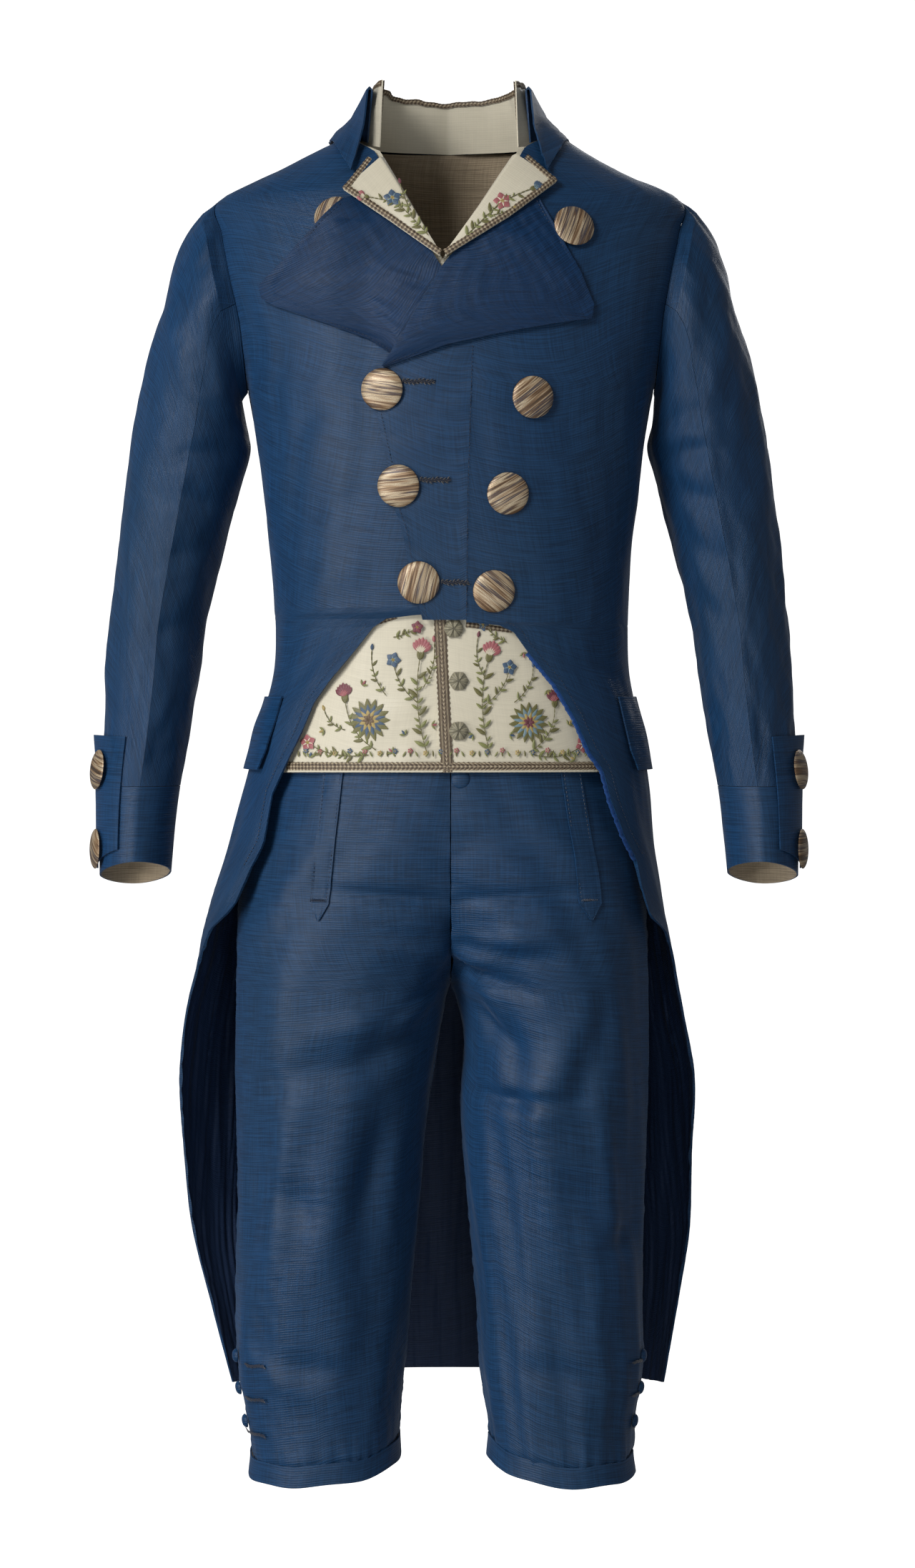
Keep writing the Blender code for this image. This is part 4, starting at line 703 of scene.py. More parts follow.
def strip_grids():
    """Give the strip on the left front that buttons over the right one, with stitched holes."""
    z = np.linspace(STRIP_EDGE[0][0], STRIP_EDGE[-1][0], 130)
    x = between(along(STRIP_EDGE, z, 1), along(LEFT_EDGE, z, 1), 26)
    heights = spread(z, 26)
    plain = coat_base(turn_at(x, heights), heights)
    u, v = arcs(plain)
    relief = pucker(u - u[:, :1], v, 41, 0.009, 0.0005) + pucker(u[:, -1:] - u, v, 42, 0.007, 0.0005)
    relief = relief + 0.0004 * ripple(u, v, 43, 0.05, 0.05)
    turns = turn_at(x, heights)
    return coat(turns, heights, relief), coat(turns, heights, relief - COAT_WALL + 0.0002)


coat_looks = (blue_silk, tail_lining)
for side, word in ((-1, "right"), (1, "left")):
    dress(f"front_{word}", [f"coat_front_{word}"], coat_front_grids(side), coat_looks)
    dress(f"back_{word}", [f"coat_back_{word}"], coat_back_grids(side), coat_looks)
dress("buttoned_strip", ["coat_overlap_left"], strip_grids(), (blue_silk, blue_silk))

# %% Lapels of the coat and of the waistcoat
# Lapels, as x and z in a front view, from the collar down
RIGHT_LAPEL_ROLL = ((-0.0480, -0.0300), (-0.0110, -0.0940), (-0.0010, -0.1090), (-0.0200, -0.1440),
                    (-0.0400, -0.1735))
RIGHT_LAPEL_EDGE = ((-0.0840, -0.0490), (-0.1080, -0.0730), (-0.1270, -0.0910), (-0.1510, -0.1150),
                    (-0.1490, -0.1255), (-0.1360, -0.1330), (-0.1080, -0.1440),
                    (-0.0640, -0.1615), (-0.0425, -0.1755))
LEFT_LAPEL_ROLL = ((0.0480, -0.0300), (0.0275, -0.0640), (-0.0040, -0.1010), (-0.0280, -0.1420),
                   (-0.0530, -0.1830))
LEFT_LAPEL_EDGE = ((0.0690, -0.0400), (0.0870, -0.0740), (0.1040, -0.1050), (0.1150, -0.1320),
                   (0.1130, -0.1440), (0.0890, -0.1480), (0.0380, -0.1580), (-0.0020, -0.1670),
                   (-0.0510, -0.1845))
RIGHT_VEST_ROLL = ((-0.0520, -0.0120), (-0.0290, -0.0530), (-0.0068, -0.0925))
RIGHT_VEST_EDGE = ((-0.0820, -0.0440), (-0.0450, -0.0690), (-0.0072, -0.0965))
LEFT_VEST_ROLL = ((0.0510, -0.0100), (0.0240, -0.0530), (-0.0028, -0.0925))
LEFT_VEST_EDGE = ((0.0850, -0.0350), (0.0480, -0.0640), (-0.0024, -0.0965))
BURIED_BUTTON = (-0.092, -0.060)
BUMP_HEIGHT = 0.0080
BUMP_REACH = 0.0340
LAPEL_LIFT = 0.0024
LAPEL_REST = 0.0008
LAPEL_GRAIN = 0.6
LAPEL_EDGE_RISE = 0.0011
VEST_LAPEL_SHARES = (0.00, 0.00, 0.00, 0.06, 0.30, 0.65, 1.00)
VEST_LAPEL_LIFTS = (-0.0062, -0.0030, 0.0025, 0.0064, 0.0070, 0.0072, 0.0066)


def walk(points, steps):
    """Place steps along an outline by its length, for each coordinate."""
    points = np.array(points, dtype=float)
    length = np.concatenate([[0.0], np.cumsum(np.linalg.norm(np.diff(points, axis=0), axis=1))])
    place = np.linspace(0.0, length[-1], steps)
    return np.stack([np.interp(place, length, points[:, k]) for k in range(2)], axis=-1)


def bump(x, z):
    """Give the rise of a lapel over the button that lies under it, as a bell of its distance."""
    away = np.hypot(x - BURIED_BUTTON[0], z - BURIED_BUTTON[1])
    return BUMP_HEIGHT * np.exp(-(away / BUMP_REACH) ** 2)


def lapel_cloth(roll, edge, rows, shares):
    """Spread a front-view grid between a roll line and an outer edge, at the given shares."""
    inner_line, outer_line = walk(roll, rows)[:, None], walk(edge, rows)[:, None]
    share = np.asarray(shares)[None, :, None]
    return inner_line * (1.0 - share) + outer_line * share


def coat_lapel_grids(side):
    """Give one lapel, turned back on the front, with a rolled edge and soft ripples."""
    share = np.linspace(0.0, 1.0, 46)
    roll, edge = ((LEFT_LAPEL_ROLL, LEFT_LAPEL_EDGE) if side > 0
                  else (RIGHT_LAPEL_ROLL, RIGHT_LAPEL_EDGE))
    place = lapel_cloth(roll, edge, 70, share)
    x, z = place[..., 0], place[..., 1]
    down = np.sin(np.linspace(0.0, math.pi, 70))[:, None]
    lift = LAPEL_LIFT * np.sin(share * math.pi * 0.75)[None, :] * down
    if side < 0:
        lift = lift * (1.0 - ease(x, -0.120, -0.075)) - sink(x, z) + bump(x, z)
    u, v = arcs(np.stack([x, 0.0 * x, z], axis=-1))
    wave = 0.0005 * ripple(u, v, 51 + side, 0.05, 0.05) + 0.0003 * ripple(u, v, 54 + side, 0.018, 0.02)
    rolled = 0.0007 * np.exp(-((1.0 - share) / 0.05) ** 2)[None, :]
    lift = lift + np.maximum(wave, -0.0003) - rolled * 0.4
    turns = turn_at(x, z)
    lift = lift + LAPEL_EDGE_RISE * ease(share, 0.93, 0.995)[None, :]
    outer = coat(turns, z, LAPEL_REST + LAPEL_WALL + lift)
    return outer, coat(turns, z, LAPEL_REST + lift)


def vest_lapel_grids(side):
    """Give one waistcoat lapel, which comes up inside the coat's edge and turns out over it."""
    roll, edge = ((LEFT_VEST_ROLL, LEFT_VEST_EDGE) if side > 0
                  else (RIGHT_VEST_ROLL, RIGHT_VEST_EDGE))
    steps = np.linspace(0.0, 1.0, 34)
    corners = np.linspace(0.0, 1.0, len(VEST_LAPEL_SHARES))
    share, height = np.interp(steps, corners, VEST_LAPEL_SHARES), np.interp(steps, corners, VEST_LAPEL_LIFTS)
    place = lapel_cloth(roll, edge, 60, share)
    x, z = place[..., 0], place[..., 1]
    rise = height[None, :] + ease(share, 0.0, 0.06)[None, :] * bump(x, z) * (side < 0)
    outer = coat(turn_at(x, z), z, rise)
    return outer, outer + grid_outward(outer) * 0.0010 * side


for side, word in ((-1, "right"), (1, "left")):
    dress(f"lapel_{word}", [f"coat_lapel_{word}"], coat_lapel_grids(side), (shaded_lapel_silk, shaded_lapel_silk),
          grain=LAPEL_GRAIN * side)
    dress(f"vest_lapel_{word}", [f"waistcoat_lapel_{word}"], vest_lapel_grids(side),
          (cream_satin, cream_satin))

# %% Collars and pocket flaps
COLLAR_COLUMNS = ("share", "stand_x", "stand_y", "stand_z", "fold_x", "fold_y", "fold_z",
                  "middle_x", "middle_y", "middle_z", "edge_x", "edge_y", "edge_z")
COLLAR_PLACES = (
    (0.00, 0.0000, 0.0755, 0.0130, 0.0000, 0.0715, 0.0520,
     0.0000, 0.0820, 0.0270, 0.0000, 0.0905, 0.0045),
    (0.40, 0.0560, 0.0545, 0.0140, 0.0475, 0.0555, 0.0550,
     0.0570, 0.0640, 0.0300, 0.0670, 0.0720, 0.0070),
    (0.72, 0.0840, 0.0180, 0.0152, 0.0665, 0.0180, 0.0580,
     0.0815, 0.0200, 0.0340, 0.1000, 0.0220, 0.0128),
    (0.86, 0.0795, -0.0050, 0.0136, 0.0663, -0.0020, 0.0565,
     0.0775, -0.0130, 0.0290, 0.0950, -0.0310, 0.0080),
    (1.00, 0.0660, -0.0290, 0.0065, 0.0650, -0.0215, 0.0540,
     0.0700, -0.0430, 0.0190, 0.0800, -0.0714, -0.0200),
)
COLLAR_FOLD_HALF = 0.0027
COLLAR_FOLD_DROP = 0.0030
FLAP_SHAPE = (
    (-0.448, 62.0, 108.0), (-0.470, 62.0, 109.0), (-0.492, 63.0, 110.0), (-0.508, 66.0, 108.0),
)
FLAP_STAND_OFF = 0.0022
FLAP_REST = 0.0004
VEST_COLLAR_COLUMNS = ("share", "foot_x", "foot_y", "foot_z", "top_x", "top_y", "top_z")
VEST_COLLAR_PLACES = (
    (0.00, 0.0000, 0.0722, 0.0100, 0.0000, 0.0635, 0.0520),
    (0.40, 0.0540, 0.0500, 0.0095, 0.0415, 0.0480, 0.0550),
    (0.72, 0.0800, 0.0140, 0.0085, 0.0585, 0.0150, 0.0600),
    (0.86, 0.0720, -0.0150, 0.0060, 0.0580, -0.0050, 0.0600),
    (1.00, 0.0560, -0.0390, 0.0015, 0.0545, -0.0210, 0.0590),
)
VEST_COLLAR_WAVE = 0.0010
VEST_COLLAR_WAVES = 19.0


def coat_collar_grids():
    """Give the collar: a stand round the neck that folds over and falls outside."""
    share = np.linspace(-1.0, 1.0, 150)
    at = {name: smooth(COLLAR_PLACES, np.abs(share), k) for k, name in enumerate(COLLAR_COLUMNS)}
    way = np.sign(share)

    def points(part):
        return np.stack([at[part + "_x"] * way, at[part + "_y"], at[part + "_z"]], axis=-1)

    stand, fold, middle, edge = (points(part) for part in ("stand", "fold", "middle", "edge"))
    away = unit(fold * np.array([1.0, 1.0, 0.0]))
    down = np.array([0.0, 0.0, -COLLAR_FOLD_DROP])
    inside, outside = fold - away * COLLAR_FOLD_HALF + down, fold + away * COLLAR_FOLD_HALF + down
    columns = [stand, stand * 0.5 + inside * 0.5, inside, fold, outside,
               outside * 0.5 + middle * 0.5, middle, middle * 0.5 + edge * 0.5, edge]
    coarse = np.stack(columns, axis=1)
    steps = np.linspace(0.0, len(columns) - 1.0, 46)
    whole = np.floor(np.minimum(steps, len(columns) - 1.001)).astype(int)
    part = (steps - whole)[None, :, None]
    outer = coarse[:, whole] * (1.0 - part) + coarse[:, whole + 1] * part
    u, v = arcs(outer)
    fall = ease(steps, 4.5, 8.0)[None, :, None]
    wave = 0.0006 * ripple(v, u, 61, 0.05, 0.07) + 0.0003 * ripple(v, u, 62, 0.02, 0.03)
    outer = outer - grid_outward(outer) * wave[..., None] * fall
    return outer, outer + grid_outward(outer) * COAT_WALL


def vest_collar_grids():
    """Give the standing collar of the waistcoat, whose thin upper edge waves a little."""
    share = np.linspace(-1.0, 1.0, 120)
    at = {name: smooth(VEST_COLLAR_PLACES, np.abs(share), k)
          for k, name in enumerate(VEST_COLLAR_COLUMNS)}
    way = np.sign(share)
    foot = np.stack([at["foot_x"] * way, at["foot_y"], at["foot_z"]], axis=-1)
    top = np.stack([at["top_x"] * way, at["top_y"], at["top_z"]], axis=-1)
    inner = between(foot, top, 18).transpose(2, 0, 1)
    wave = VEST_COLLAR_WAVE * np.sin(share * VEST_COLLAR_WAVES) + 0.0006 * np.sin(share * 43.0)
    inner[..., 0] += np.linspace(0, 1, 18)[:, None] * wave[None, :]
    inner[..., 2] += np.linspace(0, 1, 18)[:, None] ** 3 * 0.6 * wave[None, :]
    return inner + grid_outward(inner) * -0.0010, inner


def flap_grids(side):
    """Give a pocket flap, which stands off a little at its lower edge."""
    z = np.linspace(FLAP_SHAPE[0][0], FLAP_SHAPE[-1][0], 30)
    turns = side * radians(between(along(FLAP_SHAPE, z, 1), along(FLAP_SHAPE, z, 2), 50))
    heights = spread(z, 50)
    lift = FLAP_STAND_OFF * ease(-heights, -FLAP_SHAPE[0][0], -FLAP_SHAPE[-1][0])
    lift = lift + 0.0003 * ripple(turns * 0.15, heights, 71 + side, 0.05, 0.05)
    outer = coat(turns, heights, STRIP_LIFT + COAT_WALL + lift + FLAP_REST)
    return outer, coat(turns, heights, STRIP_LIFT + lift + FLAP_REST)


dress("collar", ["coat_collar"], coat_collar_grids(), (blue_silk, blue_silk))
dress("vest_collar", ["waistcoat_collar"], vest_collar_grids(), (cream_satin, cream_satin))
for side, word in ((-1, "right"), (1, "left")):
    dress(f"flap_{word}", [f"pocket_flap_{word}"], flap_grids(side), (blue_silk, blue_silk))

# %% [markdown]
# The sleeves bend at the elbow, so the cloth folds on the inner side of the arm and pulls in long
# slanting creases on the outer side. The seam along the forearm is pressed to a sharp edge.

# %% Sleeves, cuffs and plackets
# Columns: ring, outer x, outer z, inner x, inner z, depth, shift, tilt
SLEEVE_RINGS = (
    (1, 0.2040, -0.0480, 0.1710, -0.2030, 0.0520, 0.0020, 0.000),
    (2, 0.2185, -0.0680, 0.1705, -0.2090, 0.0560, 0.0030, 0.000),
    (3, 0.2290, -0.0950, 0.1695, -0.2160, 0.0590, 0.0040, 0.000),
    (4, 0.2360, -0.1220, 0.1680, -0.2240, 0.0610, 0.0060, 0.000),
    (5, 0.2465, -0.1540, 0.1665, -0.2320, 0.0610, 0.0080, 0.000),
    (6, 0.2555, -0.1900, 0.1655, -0.2450, 0.0600, 0.0100, 0.000),
    (7, 0.2630, -0.2380, 0.1720, -0.2680, 0.0585, 0.0120, 0.000),
    (8, 0.2700, -0.2850, 0.1815, -0.3050, 0.0560, 0.0140, 0.000),
    (9, 0.2760, -0.3330, 0.1925, -0.3480, 0.0535, 0.0150, 0.000),
    (10, 0.2810, -0.3800, 0.2025, -0.3900, 0.0505, 0.0140, 0.000),
    (11, 0.2840, -0.4280, 0.2080, -0.4350, 0.0475, 0.0090, 0.000),
    (12, 0.2865, -0.4750, 0.2150, -0.4780, 0.0450, 0.0020, 0.000),
    (13, 0.2890, -0.5210, 0.2225, -0.5210, 0.0425, -0.0060, 0.000),
    (14, 0.2890, -0.5580, 0.2265, -0.5560, 0.0410, -0.0120, 0.009),
    (15, 0.2885, -0.5950, 0.2295, -0.5910, 0.0400, -0.0170, 0.017),
)
SLEEVE_POWER = 1.80
CUFF_SEAM_RING = 13.0
CUFF_END_RING = 15.0
SLEEVE_SEAM_TURN = 97.0
# Columns: ring, front turn, back turn, stand-off
PLACKET_SHAPE = (
    (12.10, 66.0, 4.0, 0.0060), (12.60, 66.0, -6.0, 0.0030), (13.40, 66.0, -8.0, 0.0015),
    (14.10, 66.0, -8.0, 0.0012), (14.80, 66.0, -8.0, 0.0010),
)
PLACKET_LIFT = 0.0004
PLACKET_CLOTH = 0.0014
CUFF_SLOPE = 0.0065
# Columns: first turn, first ring, last turn, last ring, width, depth
LEFT_SLEEVE_CREASES = (
    (30.0, 2.0, 118.0, 4.6, 0.0120, -0.0021), (14.0, 3.2, 96.0, 6.0, 0.0100, 0.0015),
    (150.0, 5.0, 60.0, 6.4, 0.0100, -0.0024), (160.0, 6.4, 52.0, 7.0, 0.0090, -0.0028),
    (158.0, 7.2, 40.0, 8.4, 0.0100, -0.0025), (150.0, 8.2, 46.0, 9.8, 0.0100, -0.0020),
    (146.0, 9.4, 58.0, 11.0, 0.0110, -0.0017), (20.0, 6.8, 70.0, 9.8, 0.0120, 0.0017),
    (34.0, 9.6, 84.0, 12.4, 0.0120, -0.0015), (120.0, 10.6, 88.0, 12.8, 0.0080, 0.0014),
    (-30.0, 6.0, 30.0, 8.0, 0.0140, 0.0018), (10.0, 10.0, 30.0, 12.0, 0.0110, 0.0013),
)
RIGHT_SLEEVE_CREASES = (
    (26.0, 2.4, 110.0, 4.2, 0.0110, -0.0020), (18.0, 3.6, 104.0, 5.6, 0.0110, 0.0017),
    (150.0, 5.4, 66.0, 5.9, 0.0100, -0.0022), (162.0, 6.2, 48.0, 7.4, 0.0100, -0.0029),
    (156.0, 7.6, 36.0, 7.9, 0.0090, -0.0024), (152.0, 8.4, 50.0, 9.2, 0.0110, -0.0021),
    (148.0, 9.8, 64.0, 10.6, 0.0100, -0.0015), (24.0, 7.4, 62.0, 10.4, 0.0130, 0.0017),
    (40.0, 10.2, 78.0, 12.2, 0.0110, -0.0014), (124.0, 11.0, 92.0, 12.6, 0.0080, 0.0013),
    (-26.0, 6.4, 34.0, 7.6, 0.0140, 0.0017), (6.0, 9.4, 26.0, 11.6, 0.0120, 0.0014),
)


def sleeve_surface(side):
    """Give the surface of one sleeve as a function of turn and ring.

    Turn 0 is the outer side, a quarter turn the front. A point is the middle, plus the arm to the
    outer point * cosine, plus the depth * sine to the front. Between the armhole and ring 1 it
    slides from the one to the other.
    """
    def base(turn, ring):
        turn, ring = np.broadcast_arrays(turn, np.asarray(ring, dtype=float))
        later = np.maximum(ring, 1.0)
        ox, oz, ix, iz, depth, shift, tilt = (smooth(SLEEVE_RINGS, later, k) for k in range(1, 8))
        cosine = signed_power(np.cos(turn), 2.0 / SLEEVE_POWER)
        sine = signed_power(np.sin(turn), 2.0 / SLEEVE_POWER)
        x = side * ((ox + ix) / 2 + (ox - ix) / 2 * cosine)
        z = (oz + iz) / 2 + (oz - iz) / 2 * cosine + tilt * sine
        arm = np.stack([x, shift - depth * sine, z], axis=-1)
        height = ARMHOLE_TOP + (ARMHOLE_BOTTOM - ARMHOLE_TOP) * (1 - np.cos(turn)) / 2
        reach = np.sign(np.sin(turn)) * armhole_half_turn(height)
        hole = coat_base(side * (radians(90.0) - reach), height)
        hole = hole + np.array([side * ARMHOLE_GAP, 0.0, -0.0002])
        share = np.clip(ring, 0.0, 1.0)[..., None]
        return hole * (1.0 - share) + arm * share
    return base


def sleeve(side, turn, ring, out):
    """Give a point of a sleeve, moved out."""
    turn, ring, out = np.broadcast_arrays(turn, np.asarray(ring, dtype=float), out)
    base = sleeve_surface(side)
    return base(turn, ring) + side * outward(base, turn, ring, 0.10, 0.12) * out[..., None]


def sleeve_relief(side, turn, ring):
    """Give the relief of a whole sleeve, so that creases run on across its seams."""
    base = sleeve_surface(side)
    plain = base(turn, ring)
    creases = LEFT_SLEEVE_CREASES if side > 0 else RIGHT_SLEEVE_CREASES
    relief = crease_relief(plain, base, creases)
    around = np.where(turn > math.pi, turn - 2 * math.pi, turn)
    u, v = around * 0.055, plain[..., 2]
    relief = relief + 0.0008 * ripple(u, v, 81 + side, 0.05, 0.08)
    relief = relief + 0.0002 * ripple(u, v, 84 + side, 0.02, 0.03)
    seam = radians(SLEEVE_SEAM_TURN)
    ridge = np.exp(-((np.abs(around) - seam) / 0.12) ** 2) * ease(ring, 5.0, 8.0)
    relief = relief + 0.0018 * ridge
    head = 0.0009 * np.sin(around * 19.0 + 0.8 * np.sin(around * 5.0)) * np.exp(-((ring - 0.7) / 0.9) ** 2)
    relief = relief + head * np.exp(-(around / 1.2) ** 2)
    return relief * ease(ring, 0.0, 0.6) * (1.0 - 0.8 * ease(ring, 12.4, 13.0))


def sleeve_grids(side, turns, rings):
    """Give a stretch of a sleeve between two seams and along the given rings."""
    turn, ring = np.meshgrid(turns, rings)
    relief = sleeve_relief(side, turn, ring)
    return sleeve(side, turn, ring, relief), sleeve(side, turn, ring, relief - COAT_WALL)


def mouth_slope(points):
    """Lower a cuff's front hem and raise its back hem.

    The rise is the slope, times the depth from -1 in front to 1 behind, times the square of the
    share of the way down.
    """
    depth = points[..., 1] - points[..., 1].mean(axis=1, keepdims=True)
    depth = depth / np.abs(depth).max(axis=1, keepdims=True)
    down = np.linspace(0.0, 1.0, len(points))[:, None]
    points = points.copy()
    points[..., 2] += CUFF_SLOPE * depth * down**2
    return points


def placket_grids(side):
    """Give the placket strip on the outer side of a sleeve's end."""
    ring = np.linspace(PLACKET_SHAPE[0][0], PLACKET_SHAPE[-1][0], 60)
    turns = radians(between(along(PLACKET_SHAPE, ring, 1), along(PLACKET_SHAPE, ring, 2), 30))
    away = along(PLACKET_SHAPE, ring, 3)[:, None] * np.linspace(0.0, 1.0, 30)[None, :] ** 2
    rings = spread(ring, 30)
    lift = PLACKET_LIFT + 0.0003 + away
    return sleeve(side, turns, rings, lift + PLACKET_CLOTH), sleeve(side, turns, rings, lift)


seam_turn = float(radians(SLEEVE_SEAM_TURN))
sleeve_rings = np.concatenate([np.linspace(0.0, 1.0, 22)[:-1], np.linspace(1.0, CUFF_SEAM_RING, 150)])
sleeve_gap = 0.0030
for side, word in ((-1, "right"), (1, "left")):
    upper = np.linspace(-seam_turn + sleeve_gap, seam_turn - sleeve_gap, 54)
    under = np.linspace(seam_turn + sleeve_gap, 2 * math.pi - seam_turn - sleeve_gap, 32)
    for part, turns in (("upper", upper), ("under", under)):
        dress(f"{part}_sleeve_{word}", [f"sleeve_{part}_{word}"], sleeve_grids(side, turns, sleeve_rings),
              coat_looks)
    around = np.arange(110) * (2 * math.pi / 110)
    cuff_rings = np.linspace(CUFF_SEAM_RING + 0.01, CUFF_END_RING, 26)
    cuff = [mouth_slope(wall) for wall in sleeve_grids(side, around, cuff_rings)]
    dress(f"cuff_band_{word}", [f"cuff_{word}"], cuff, (blue_silk, linen), closed=True)
    dress(f"placket_{word}", [f"cuff_placket_{word}"], placket_grids(side), (blue_silk, blue_silk))

# %% [markdown]
# The waistcoat lies inside the coat at an even distance. Only its collar, its lapels and the
# stretch below the coat's fronts can be seen, but the whole of it is there.

# %% Waistcoat fronts and back
# Columns: z, x
RIGHT_VEST_FRONT = (
    (0.012, -0.0780), (0.002, -0.0585), (-0.008, -0.0530), (-0.053, -0.0290), (-0.0950, -0.0040),
    (-0.150, 0.0200), (-0.300, 0.0200), (-0.508, 0.0180),
)
LEFT_VEST_FRONT = (
    (0.012, 0.0780), (0.002, 0.0585), (-0.008, 0.0530), (-0.053, 0.0260), (-0.0950, -0.0060),
    (-0.120, -0.0150), (-0.300, -0.0160), (-0.388, -0.0130), (-0.508, -0.0070),
)
VEST_ARMHOLE_TOP = -0.030
VEST_ARMHOLE_BOTTOM = -0.225
VEST_ARMHOLE_REACH = 30.0
VEST_SHOULDER_REACH = 14.0
VEST_LAP_DEPTH = 0.0018
VEST_CLOTH = 0.0011
WAISTCOAT_HEM = -0.508
VEST_BUTTONS = ((0.0040, -0.3930), (0.0080, -0.4350), (0.0080, -0.4750))


def waistcoat(turn, z, out):
    """Give a point of the waistcoat's surface, moved out."""
    return coat(turn, z, np.asarray(out) - WAISTCOAT_INSET)


def vest_side(z):
    """Give how far the waistcoat's armhole reaches from the side, at a height."""
    share = np.clip((VEST_ARMHOLE_TOP - z) / (VEST_ARMHOLE_TOP - VEST_ARMHOLE_BOTTOM), 0.0, 1.0)
    shoulder = radians(VEST_SHOULDER_REACH) * ease(z, -0.060, -0.030)
    return radians(VEST_ARMHOLE_REACH) * np.sin(math.pi * share) ** 0.6 + shoulder


def vest_front_grids(side):
    """Give one front of the waistcoat. The left one buttons over the right one."""
    z = np.linspace(0.012, WAISTCOAT_HEM, 150)
    edge = along(LEFT_VEST_FRONT if side > 0 else RIGHT_VEST_FRONT, z, 1)
    share = np.linspace(0.0, 1.0, 48) ** 1.15
    first, last = turn_at(edge, z)[:, None], (side * (radians(90.0) - vest_side(z)))[:, None]
    turns = first + (last - first) * share[None, :]
    heights = spread(z, 48)
    plain = coat_base(turns, heights)
    x = plain[..., 0]
    down = VEST_LAP_DEPTH * ease(x, -0.035, -0.018) if side < 0 else 0.0
    u, v = arcs(plain)
    relief = pucker(u - u[:, :1], v, 91 + side, 0.007, 0.00025) * (side > 0)
    relief = relief + 0.0005 * ripple(u, v, 94 + side, 0.07, 0.05) * ease(-heights, 0.37, 0.42)
    return waistcoat(turns, heights, relief - down), waistcoat(turns, heights, relief - down - VEST_CLOTH)


def vest_back_grids():
    """Give the waistcoat's plain back in one piece."""
    z = np.linspace(0.012, WAISTCOAT_HEM, 70)
    reach = radians(90.0) + vest_side(z)
    turns = between(reach, 2 * math.pi - reach, 40)
    heights = spread(z, 40)
    return waistcoat(turns, heights, 0.0), waistcoat(turns, heights, -VEST_CLOTH)


for side, word in ((-1, "right"), (1, "left")):
    dress(f"vest_front_{word}", [f"waistcoat_front_{word}"], vest_front_grids(side),
          (cream_satin, linen))
dress("vest_back", ["waistcoat_back"], vest_back_grids(), (linen, linen))

# %% [markdown]
# The breeches fit closely. Their cloth is drawn from the crotch to the hips in flat creases, and
# it is gathered a little into the bands below the knees.

# %% Breeches, waistband, knee bands and fall plackets
# Columns: z, right outer, right inner, left outer, left inner, front, back, shift
LEG_SECTIONS = (
    (-0.446, -0.1340, 0.1300, 0.1370, -0.1330, 0.0960, 0.0860, 0.000),
    (-0.490, -0.1450, 0.1330, 0.1440, -0.1340, 0.1000, 0.0960, 0.000),
    (-0.530, -0.1570, 0.1240, 0.1530, -0.1250, 0.1030, 0.1080, 0.000),
    (-0.570, -0.1680, 0.0980, 0.1600, -0.1000, 0.1050, 0.1180, 0.001),
    (-0.610, -0.1740, 0.0600, 0.1640, -0.0600, 0.1050, 0.1240, 0.003),
    (-0.645, -0.1765, 0.0300, 0.1655, -0.0300, 0.1040, 0.1240, 0.004),
    (-0.672, -0.1770, 0.0080, 0.1655, -0.0060, 0.1020, 0.1200, 0.005),
    (-0.690, -0.1770, -0.0005, 0.1650, 0.0035, 0.1000, 0.1150, 0.005),
    (-0.712, -0.1770, -0.0050, 0.1645, 0.0100, 0.0970, 0.1090, 0.005),
    (-0.791, -0.1765, -0.0180, 0.1640, 0.0100, 0.0890, 0.0960, 0.005),
    (-0.865, -0.1765, -0.0250, 0.1625, 0.0150, 0.0820, 0.0870, 0.005),
    (-0.953, -0.1775, -0.0330, 0.1610, 0.0230, 0.0750, 0.0790, 0.004),
    (-1.012, -0.1755, -0.0370, 0.1600, 0.0260, 0.0690, 0.0730, 0.002),
    (-1.045, -0.1690, -0.0395, 0.1540, 0.0300, 0.0655, 0.0690, 0.001),
    (-1.074, -0.1650, -0.0410, 0.1530, 0.0330, 0.0640, 0.0660, 0.000),
    (-1.092, -0.1665, -0.0400, 0.1550, 0.0310, 0.0645, 0.0665, 0.000),
)
LEG_POWER = 2.15
WAIST_TOP = -0.446
WAIST_SEAM = -0.490
KNEE_SEAM = -1.074
KNEE_HEM = -1.091
KNEE_DIP = 0.0060
KNEE_RISE = 0.014
KNEE_WANDER = 0.0016
KNEE_BAND_CLOTH = 0.0011
# Columns: z, x, half width
LEFT_FALL = (
    (-0.494, 0.0960, 0.0080), (-0.550, 0.1040, 0.0082), (-0.607, 0.1125, 0.0085),
    (-0.615, 0.1135, 0.0085), (-0.6285, 0.1150, 0.0008),
)
RIGHT_FALL = (
    (-0.494, -0.0910, 0.0080), (-0.550, -0.0970, 0.0078), (-0.607, -0.1040, 0.0078),
    (-0.615, -0.1045, 0.0078), (-0.6285, -0.1055, 0.0008),
)
